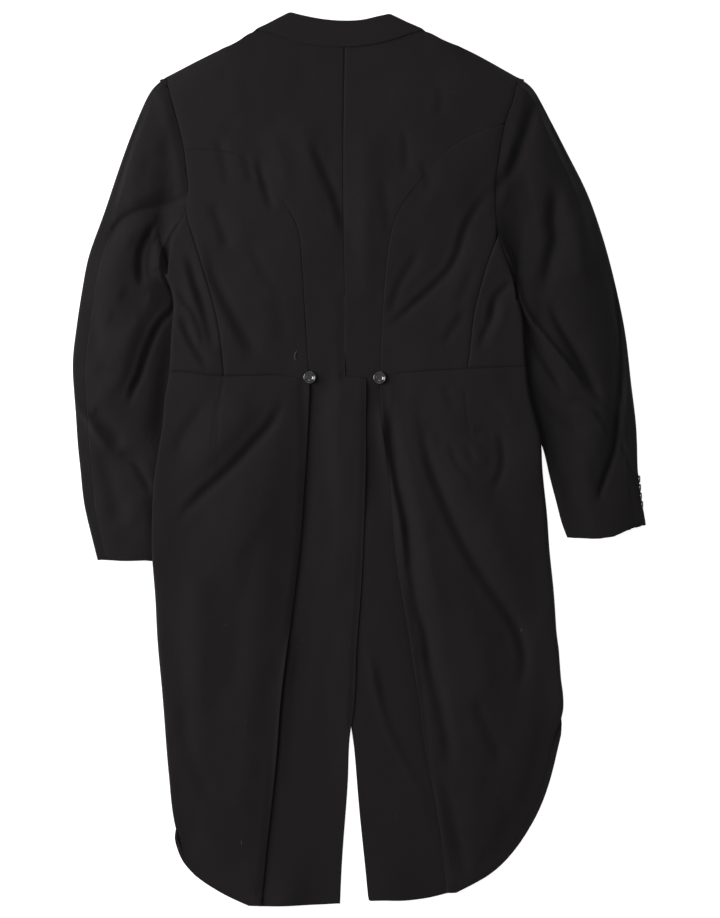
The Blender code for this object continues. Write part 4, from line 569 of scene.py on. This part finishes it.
woolLook = dict(colour=(0.0094, 0.0081, 0.0085), pitch=0.0011, nap=0.5, unevenness=0.62, lint=0.07,
                lintColour=(0.040, 0.038, 0.036), roughness=0.84, polish=0.2, relief=0.5, yarn=0.0002,
                specular=0.14, sheen=0.05, sheenRoughness=0.42, sheenTint=(0.98, 0.94, 0.92))
facingLook = dict(woolLook, colour=(0.0100, 0.0086, 0.0090), unevenness=0.10, roughness=0.8, lint=0.0)
buttonLook = dict(colour=(0.010, 0.0095, 0.0095), streak=(0.022, 0.020, 0.019), cloud=420.0, scratch=2600.0,
                  roughness=0.04, wear=0.08, relief=0.05, grainTall=0.0002, specular=0.85, coat=1.0,
                  coatRoughness=0.06)
# Painted shade: each sleeve panel's colour is scaled darker to stand in for how the light falls on it; the lit fold
# strip of the left top sleeve and the right sleeve, which faces away from the lamp, are darkened
sleevePaintedShade = {
    "sleeve_top_left": 0.56, "sleeve_under_left": 1.0,
    "sleeve_top_right": 0.92, "sleeve_under_right": 0.78,
}
woolCloth = woolMaterial("black_wool_cloth", woolLook)
sleeveShadedCloth = {}
# Shaded copies of the wool, one for each sleeve panel, with the painted shade factor multiplied into the colour
for node, tone in sleevePaintedShade.items():
    shadedColour = [c * tone for c in woolLook["colour"]]
    sleeveShadedCloth[node] = woolMaterial("black_wool_" + node, dict(woolLook, colour=shadedColour))
lapelCloth = woolMaterial("black_lapel_cloth", facingLook)
polishedHorn = buttonMaterial("polished_black_button", buttonLook)
print("materials ready")


def meshPlaces(mesh, kind="co"):
    values = np.empty(len(mesh.vertices) * 3)
    mesh.vertices.foreach_get(kind, values)
    return values.reshape(-1, 3)


def meshCorners(mesh):
    corner = np.empty(len(mesh.loops), dtype=np.int32)
    mesh.loops.foreach_get("vertex_index", corner)
    return corner


def grainMap(mesh, turn):
    # Plan of the cloth in metres, turned so that its length follows the panel's grain
    flat = meshPlaces(mesh)[:, :2]
    c, s = math.cos(turn), math.sin(turn)
    plan = np.stack((flat[:, 0] * c - flat[:, 1] * s, flat[:, 0] * s + flat[:, 1] * c), axis=1)
    layer = mesh.uv_layers.new(name="grain")
    layer.data.foreach_set("uv", plan[meshCorners(mesh)].astype(np.float32).ravel())


def sewnMesh(name, points, faces):
    # A new closed mesh with its faces turned outwards and its grain mapped
    mesh = bpy.data.meshes.new(name)
    mesh.from_pydata(points.tolist(), [], faces)
    work = bmesh.new()
    work.from_mesh(mesh)
    bmesh.ops.recalc_face_normals(work, faces=work.faces[:])
    work.to_mesh(mesh)
    work.free()
    grainMap(mesh, 0.0)
    return mesh


def finishedPiece(name, mesh, mat, node=None, sharpAt=52):
    piece = bpy.data.objects.new(name, mesh)
    bpy.context.scene.collection.objects.link(piece)
    mesh.materials.clear()
    mesh.materials.append(mat)
    mesh.polygons.foreach_set("use_smooth", np.ones(len(mesh.polygons), dtype=bool))
    mesh.set_sharp_from_angle(angle=math.radians(sharpAt))
    mesh.update()
    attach(piece, "root")
    if node:
        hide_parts(node)
    return piece


# Cloth panels: the solid's own wall, refined, then pressed and creased; angles in degrees, the rest in metres
wallLook = dict(mergeWithin=2e-6, pairUnder=70, rimOver=66, seamNear=0.005, mostOut=0.003, cornerOver=0.0045,
                cornerOut=0.0015)


def refinedWall(name, levels, edge, look):
    # The node's loose triangles are merged and paired, and its rims are kept firm, before it is subdivided
    mesh = nodes[name].data.copy()
    work = bmesh.new()
    work.from_mesh(mesh)
    bmesh.ops.remove_doubles(work, verts=work.verts, dist=look["mergeWithin"])
    bmesh.ops.join_triangles(work, faces=work.faces[:], angle_face_threshold=math.radians(look["pairUnder"]),
                             angle_shape_threshold=math.radians(179), topology_influence=1.0)
    firm = work.edges.layers.float.get("crease_edge") or work.edges.layers.float.new("crease_edge")
    rims = [line for line in work.edges
            if len(line.link_faces) == 2 and line.calc_face_angle(0.0) > math.radians(look["rimOver"])]
    middle = drawnPlace(np.array([(line.verts[0].co + line.verts[1].co) / 2 for line in rims]))
    square = ((middle[:, None, :] - seamSpots[None, :, :]) ** 2).sum(axis=2)
    bySeam = np.sqrt(square.min(axis=1)) < look["seamNear"] * 1000
    press = seamPress[square.argmin(axis=1)]
    work.normal_update()
    moved = {}
    for line, seamed, far in zip(rims, bySeam, press):
        line[firm] = 1.0 if seamed else edge
        if seamed:
            # Both walls of a seam are pressed sideways until they close it
            for vert in line.verts:
                sideways = Vector((vert.normal.x, vert.normal.y, 0.0))
                if sideways.length > 0.3:
                    moved[vert] = sideways.normalized() * far / 1000
    for vert, way in moved.items():
        vert.co += way
    work.to_mesh(mesh)
    work.free()
    rough = bpy.data.objects.new("rough", mesh)
    bpy.context.scene.collection.objects.link(rough)
    finer = rough.modifiers.new("finer", "SUBSURF")
    # Subdividing draws the outline in, so each corner is first moved out by what it would lose, up to a limit
    wanted = meshPlaces(mesh)
    short = np.zeros_like(wanted)
    finer.levels = 1
    for attempt in range(2):
        bpy.context.view_layer.update()
        tried = bpy.data.meshes.new_from_object(rough.evaluated_get(bpy.context.evaluated_depsgraph_get()))
        short += wanted - meshPlaces(tried)[:len(wanted)]
        short[:, 2] = 0.0
        far = np.linalg.norm(short, axis=1, keepdims=True)
        kept = np.where(far > look["cornerOver"], look["cornerOut"], np.minimum(far, look["mostOut"]))
        short *= kept / np.maximum(far, 1e-6)
        mesh.vertices.foreach_set("co", (wanted + short).ravel())
        mesh.update()
        bpy.data.meshes.remove(tried)
    finer.levels = finer.render_levels = levels
    bpy.context.view_layer.update()
    made = bpy.data.meshes.new_from_object(rough.evaluated_get(bpy.context.evaluated_depsgraph_get()))
    bpy.data.objects.remove(rough)
    return made


def easedOut(spots, side, reach, down, out, tall=4):
    # mm sideways: the amount at that place down, fading inwards from the outermost spot in each short row
    row = (spots[:, 1] / tall).astype(int)
    outermost = np.full(row.max() + 1, -1e6)
    np.maximum.at(outermost, row, spots[:, 0] * side)
    inside = outermost[row] - spots[:, 0] * side
    return side * np.interp(spots[:, 1], down, out) * eased(1 - inside / reach)


# Pressing, in mm: how far from a pleat it reaches, the height where it starts and how far over that it is whole
pressLook = dict(reach=55.0, above=3.2, whole=1.2)


def pressedHeight(name, spots, height, upward, look):
    # Pleats pressed down on the tails, then the tops of fold edges pressed thin, in mm
    if name in pleatPress:
        points, down, fall = pleatPress[name]
        near, s, along = alongLine(spots, points, look["reach"])
        drop = np.interp(spots[near, 1], down, fall) * eased(1 - np.abs(s) / look["reach"])
        height[near] -= drop * eased((height[near] - look["above"]) / look["whole"])
    for loss, reach, points in thinEdges.get(name, ()):
        near, s, along = alongLine(spots, points, reach)
        height[near] -= loss * eased(1 - np.abs(s) / reach) * (1 + upward[near]) / 2
    return height


def clothPanel(name, mat, shape):
    mesh = refinedWall(name, shape["levels"], shape["edge"], wallLook)
    co = meshPlaces(mesh)
    spots = drawnPlace(co)
    relief = creaseHeight(spots, shape["creases"]) * shape["depth"]
    relief = relief + seamHeight(spots, shape["seams"])
    relief = relief + softWaves(spots, shape["seed"]) * shape["uneven"]
    if name in edgeEase:
        co[:, 0] += easedOut(spots, *edgeEase[name]) / 1000
    height = pressedHeight(name, spots, co[:, 2] * 1000, meshPlaces(mesh, "normal")[:, 2], pressLook)
    # What touches the table stays, and what is over it moves more the higher it lies: z + relief * s(z)
    share = eased((height - shape["still"]) / shape["free"])
    relief = np.maximum(relief, -0.55 * shape["free"])
    co[:, 2] = np.maximum((height + relief * share) / 1000, np.minimum(co[:, 2], shape["still"] / 1000))
    mesh.vertices.foreach_set("co", co.ravel())
    grainMap(mesh, shape["grain"])
    return finishedPiece(name + "_cloth", mesh, mat, name)


allSeams = seamLines + sleeveHeads + darts
# levels: subdivision; edge: firmness of the rims; depth and uneven: how strong the creases and the waves are;
# still and free: mm over the table below which nothing moves, and over which all of it does
bodyShape = dict(levels=3, edge=0.52, creases=bodyCreases, seams=allSeams + armLoop, depth=1.35, uneven=0.3, seed=11,
                 still=0.3, free=8.0, grain=0.0)
armLeft = dict(bodyShape, creases=bodyCreases + leftSleeveCreases, depth=1.7, edge=0.8, free=14.0,
               grain=math.radians(9))
armRight = dict(bodyShape, creases=bodyCreases + rightSleeveCreases, depth=1.7, edge=0.8, free=14.0,
                seams=allSeams + cuffVent, grain=math.radians(-13))
underneath = dict(bodyShape, levels=2)
panels = {}
# node: shape, flat width and length, flat area, what it rests on
panelTable = {
    "back_left": (bodyShape, (0.26, 1.10), 0.120, ["lapel_left", "forepart_left"]),
    "back_right": (bodyShape, (0.25, 1.10), 0.118, ["lapel_right", "forepart_right"]),
    "side_body_left": (bodyShape, (0.16, 0.29), 0.028, ["forepart_left"]),
    "side_body_right": (bodyShape, (0.16, 0.32), 0.028, ["forepart_right"]),
    "skirt_left": (bodyShape, (0.40, 0.68), 0.20, ["sleeve_top_left"]),
    "skirt_right": (bodyShape, (0.40, 0.68), 0.20, ["sleeve_top_right"]),
    "forepart_left": (underneath, (0.28, 0.46), 0.08, ["lapel_left"]),
    "forepart_right": (underneath, (0.28, 0.46), 0.08, ["lapel_right"]),
    "lapel_left": (dict(underneath, uneven=0.05), (0.16, 0.36), 0.022, []),
    "lapel_right": (dict(underneath, uneven=0.05), (0.16, 0.36), 0.022, []),
    "collar": (dict(bodyShape, depth=0.0, uneven=0.10), (0.09, 0.44), 0.026, ["lapel_left", "lapel_right"]),
    "sleeve_top_left": (armLeft, (0.21, 0.64), 0.09, []),
    "sleeve_top_right": (armRight, (0.21, 0.64), 0.09, []),
    "sleeve_under_left": (armLeft, (0.15, 0.62), 0.07, ["sleeve_top_left"]),
    "sleeve_under_right": (armRight, (0.15, 0.62), 0.07, ["sleeve_top_right"]),
}
for node, (shape, flat, area, under) in panelTable.items():
    lapelled = node.startswith("lapel")
    panels[node] = clothPanel(node, lapelCloth if lapelled else sleeveShadedCloth.get(node, woolCloth),
                              shape)
    print("panel", node, len(panels[node].data.polygons), "faces")


# Seam allowances: pressed strips under the seams, a strip of cloth carried along each seam line
# half: half its width, in mm; under: how far below the top of the cloth; beside: where that top is found, of half
allowanceLook = dict(half=8.0, thick=0.5, under=3.25, beside=0.45, across=7, step=5.0)


def topWall(names):
    # One search tree over the panels named, for the height of the cloth at a place
    verts, faces = np.empty((0, 3)), np.empty((0, 4), dtype=int)
    for name in names:
        mesh = panels[name].data
        faces = np.vstack((faces, meshCorners(mesh).reshape(-1, 4) + len(verts)))
        verts = np.vstack((verts, meshPlaces(mesh)))
    return BVHTree.FromPolygons(verts.tolist(), faces.tolist())


def heightsOver(tree, spots):
    # Height of the top face at each spot, from a line dropped on it, and across a miss from its neighbours
    found = np.full(len(spots), np.nan)
    for k, (x, y) in enumerate(spots):
        hit = tree.ray_cast(Vector((x, y, 0.2)), Vector((0, 0, -1)))
        if hit[0] is not None:
            found[k] = hit[0].z
    good = np.nonzero(~np.isnan(found))[0]
    return np.interp(np.arange(len(spots)), good, found[good])


def allowance(name, points, names, look):
    # Strip across u and along t: the line plus u across it, at the lower of the two walls beside the seam
    line = smoothLine(points, look["step"])
    way = np.gradient(line, axis=0)
    way = way / np.linalg.norm(way, axis=1)[:, None]
    across = np.stack((way[:, 1], -way[:, 0]), axis=1)
    u = np.linspace(-1, 1, look["across"])
    xy = framePlace(line[:, None, :] + across[:, None, :] * (u * look["half"])[None, :, None])
    tree = topWall(names)
    sides = [heightsOver(tree, framePlace(line + across * (side * look["half"] * look["beside"])))
             for side in (-1, 1)]
    z = np.minimum(*sides) * 1000 - look["under"]
    z = np.convolve(np.pad(z, 2, mode="edge"), np.ones(5) / 5, mode="valid")
    z = z[:, None] - 0.5 * (u ** 2)[None, :]
    top = np.dstack((xy, z / 1000))
    low = np.dstack((xy, (z - look["thick"]) / 1000))
    rows, cols = z.shape
    ids = np.arange(rows * cols).reshape(rows, cols)
    quads = np.stack((ids[:-1, :-1], ids[:-1, 1:], ids[1:, 1:], ids[1:, :-1]), axis=-1).reshape(-1, 4)
    rim = np.concatenate((ids[0, :-1], ids[:-1, -1], ids[-1, :0:-1], ids[:0:-1, 0]))
    after = np.roll(rim, -1)
    shift = rows * cols
    side = np.stack((rim, rim + shift, after + shift, after), axis=1)
    faces = np.vstack((quads, quads[:, ::-1] + shift, side)).tolist()
    mesh = sewnMesh(name, np.vstack((top.reshape(-1, 3), low.reshape(-1, 3))), faces)
    return finishedPiece(name, mesh, woolCloth)


allowanceTable = {
    "allowance_centre_back": (seamLines[0][2], ("back_left", "back_right")),
    "allowance_yoke_left": (seamLines[1][2], ("back_left", "side_body_left")),
    "allowance_princess_left": (seamLines[2][2], ("back_left", "side_body_left")),
    "allowance_yoke_right": (seamLines[3][2], ("back_right", "side_body_right")),
    "allowance_princess_right": (seamLines[4][2], ("back_right", "side_body_right")),
    "allowance_side_left": (seamLines[5][2], ("side_body_left", "forepart_left")),
    "allowance_side_right": (seamLines[6][2], ("side_body_right", "forepart_right")),
    "allowance_armhole_left": (seamLines[7][2], ("back_left", "side_body_left", "forepart_left",
                                                 "sleeve_under_left")),
    "allowance_armhole_right": (seamLines[8][2], ("back_right", "side_body_right", "forepart_right",
                                                  "sleeve_under_right")),
    "allowance_waist_left": (seamLines[9][2][1:] + ((-52, 461),), ("side_body_left", "forepart_left", "skirt_left")),
    "allowance_waist_right": (seamLines[10][2][:-1], ("side_body_right", "forepart_right", "skirt_right")),
    "allowance_arm_left": (armSeams[0][2][2:-1], ("sleeve_top_left", "sleeve_under_left")),
    "allowance_arm_right": (armSeams[1][2][2:-1], ("sleeve_top_right", "sleeve_under_right")),
}
strips = {name: allowance(name, points, names, allowanceLook)
          for name, (points, names) in allowanceTable.items()}
print("seam allowances laid")


# Buttons: a profile turned about the button's own axis
def turnedProfile(radius, thick, steps=56):
    # Radius and height along the profile, back to front: flat back, round rim, raised bead, dished face
    r = radius * np.array((0.0, 0.55, 0.86, 0.95, 1.0, 1.0, 0.97, 0.92, 0.86, 0.80, 0.75, 0.66, 0.54, 0.40, 0.22,
                           0.0))
    h = thick * np.array((0.0, 0.0, 0.0, 0.08, 0.30, 0.62, 0.84, 0.96, 0.99, 0.95, 0.86, 0.68, 0.50, 0.40, 0.37,
                          0.37))
    turn = np.linspace(0, 2 * math.pi, steps, endpoint=False)
    ring = np.stack((np.cos(turn)[:, None] * r[1:-1], np.sin(turn)[:, None] * r[1:-1],
                     np.broadcast_to(h[1:-1], (steps, len(r) - 2))), axis=2)
    points = np.vstack((ring.reshape(-1, 3), ((0, 0, h[0]), (0, 0, h[-1]))))
    cols = len(r) - 2
    i = np.arange(steps)[:, None]
    j = np.arange(cols - 1)[None, :]
    after = (i + 1) % steps
    quads = np.stack((i * cols + j, after * cols + j, after * cols + j + 1, i * cols + j + 1), axis=2)
    k = np.arange(steps)
    back = np.stack((np.full(steps, steps * cols), (k + 1) % steps * cols, k * cols), axis=1)
    front = np.stack((np.full(steps, steps * cols + 1), k * cols + cols - 1, (k + 1) % steps * cols + cols - 1),
                     axis=1)
    return points, quads.reshape(-1, 4).tolist() + back.tolist() + front.tolist()


def dressButton(node, front):
    low, high = (np.array(v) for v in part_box(node))
    size = high - low
    thin = int(np.argmin(size))
    points, faces = turnedProfile(np.delete(size, thin).mean() / 2, size[thin])
    if front < 0:
        points = points * (1, -1, -1) + (0, 0, size[thin])
    if thin == 0:
        points = np.stack((points[:, 2], points[:, 0], points[:, 1]), axis=1)
    middle = (low + high) / 2
    middle[thin] = low[thin]
    mesh = bpy.data.meshes.new(node + "_turned")
    mesh.from_pydata((points + middle).tolist(), [], faces)
    finishedPiece(node + "_turned", mesh, polishedHorn, node)


for node in sorted(nodes):
    if "button" in node:
        dressButton(node, -1 if node.startswith(("front_button", "cuff_button_left")) else 1)
print("buttons turned")


# A stray thread that lies on the back beside the left waist button
def strayThread(look):
    # Tube round a short curved line: five sides, tapered at both ends, r * (1 - (2t - 1)^6)
    line = smoothLine(look["points"], 0.5)
    t = np.linspace(0, 1, len(line))
    tree = topWall(look["over"])
    xy = framePlace(line)
    z = heightsOver(tree, xy) + look["radius"] * 0.6 / 1000
    way = np.gradient(xy, axis=0)
    way = way / np.linalg.norm(way, axis=1)[:, None]
    turn = np.arange(5) * 2 * math.pi / 5
    girth = look["radius"] / 1000 * (1.02 - (2 * t - 1) ** 6)[:, None]
    ring = np.dstack((xy[:, :1] + girth * way[:, 1:] * np.cos(turn), xy[:, 1:] - girth * way[:, :1] * np.cos(turn),
                      z[:, None] + girth * np.sin(turn)))
    ids = np.arange(len(line) * 5).reshape(-1, 5)
    after = np.roll(ids, -1, axis=1)
    quads = np.stack((ids[:-1], after[:-1], after[1:], ids[1:]), axis=2).reshape(-1, 4).tolist()
    mesh = sewnMesh("stray_thread", ring.reshape(-1, 3), quads + [ids[0].tolist(), ids[-1, ::-1].tolist()])
    greyLint = woolMaterial("grey_lint", dict(woolLook, colour=look["colour"], lint=0.0))
    finishedPiece("stray_thread", mesh, greyLint)


threadLook = dict(points=((-60, 427), (-62.5, 431), (-63, 436), (-61, 440)), radius=0.8,
                  colour=(0.042, 0.040, 0.038), over=["side_body_left", "back_left"])
strayThread(threadLook)
print("stray thread laid")


# The table, the light and the camera
def paleTable(look):
    mesh = bpy.data.meshes.new("pale_table")
    s = look["half"]
    mesh.from_pydata([(-s, -s, 0), (s, -s, 0), (s, s, 0), (-s, s, 0)], [], [(0, 1, 2, 3)])
    table = bpy.data.objects.new("pale_table", mesh)
    bpy.context.scene.collection.objects.link(table)
    mat = bpy.data.materials.new("pale_table")
    mat.use_nodes = True
    shader = mat.node_tree.nodes["Principled BSDF"]
    shader.inputs["Base Color"].default_value = (*look["colour"], 1)
    shader.inputs["Roughness"].default_value = 0.9
    shader.inputs["Emission Color"].default_value = (1, 1, 1, 1)
    shader.inputs["Emission Strength"].default_value = look["glow"]
    mesh.materials.append(mat)


def softBox(name, place, aim, size, watts, colour):
    lamp = bpy.data.lights.new(name, "AREA")
    lamp.shape = "RECTANGLE"
    lamp.size, lamp.size_y = size
    lamp.energy = watts
    lamp.color = colour
    box = bpy.data.objects.new(name, lamp)
    box.location = place
    box.rotation_euler = (Vector(aim) - Vector(place)).to_track_quat("-Z", "Y").to_euler()
    bpy.context.scene.collection.objects.link(box)


tableLook = dict(half=6.0, colour=(0.55, 0.55, 0.55), glow=0.86)
paleTable(tableLook)
worldLook = dict(colour=(1.0, 1.0, 1.0), strength=0.31)
lampLook = {
    "window_left": dict(place=(-1.7, 0.4, 1.32), aim=(0.1, 0, 0), size=(1.3, 1.8), watts=58.0,
                        colour=(1.0, 0.985, 0.97)),
    "overhead": dict(place=(0.3, 1.7, 2.1), aim=(0, 0, 0), size=(1.2, 1.0), watts=7.0, colour=(1.0, 0.99, 0.98)),
    "right_fill": dict(place=(2.2, -0.3, 1.4), aim=(0, 0, 0), size=(1.4, 1.6), watts=2.5, colour=(0.97, 0.98, 1.0)),
}
for name, look in lampLook.items():
    softBox(name, **look)
scene = bpy.context.scene
world = bpy.data.worlds.new("studio")
scene.world = world
world.use_nodes = True
sky = world.node_tree.nodes["Background"]
sky.inputs["Color"].default_value = (*worldLook["colour"], 1)
sky.inputs["Strength"].default_value = worldLook["strength"]
scene.view_settings.view_transform = "Standard"

# tall: metres of table that the longer side of the picture takes in, at the height given
cameraLook = dict(lens=150.0, sensor=36.0, tall=1.1567, height=0.008, aim=(0.0026, 0.0003))
lens = bpy.data.cameras.new("camera")
lens.lens, lens.sensor_width = cameraLook["lens"], cameraLook["sensor"]
camera = bpy.data.objects.new("camera", lens)
up = cameraLook["height"] + cameraLook["tall"] * cameraLook["lens"] / cameraLook["sensor"]
camera.location = (*cameraLook["aim"], up)
scene.collection.objects.link(camera)
scene.camera = camera
lens.clip_start, lens.clip_end = 0.1, 50.0
print("stage, light and camera set")
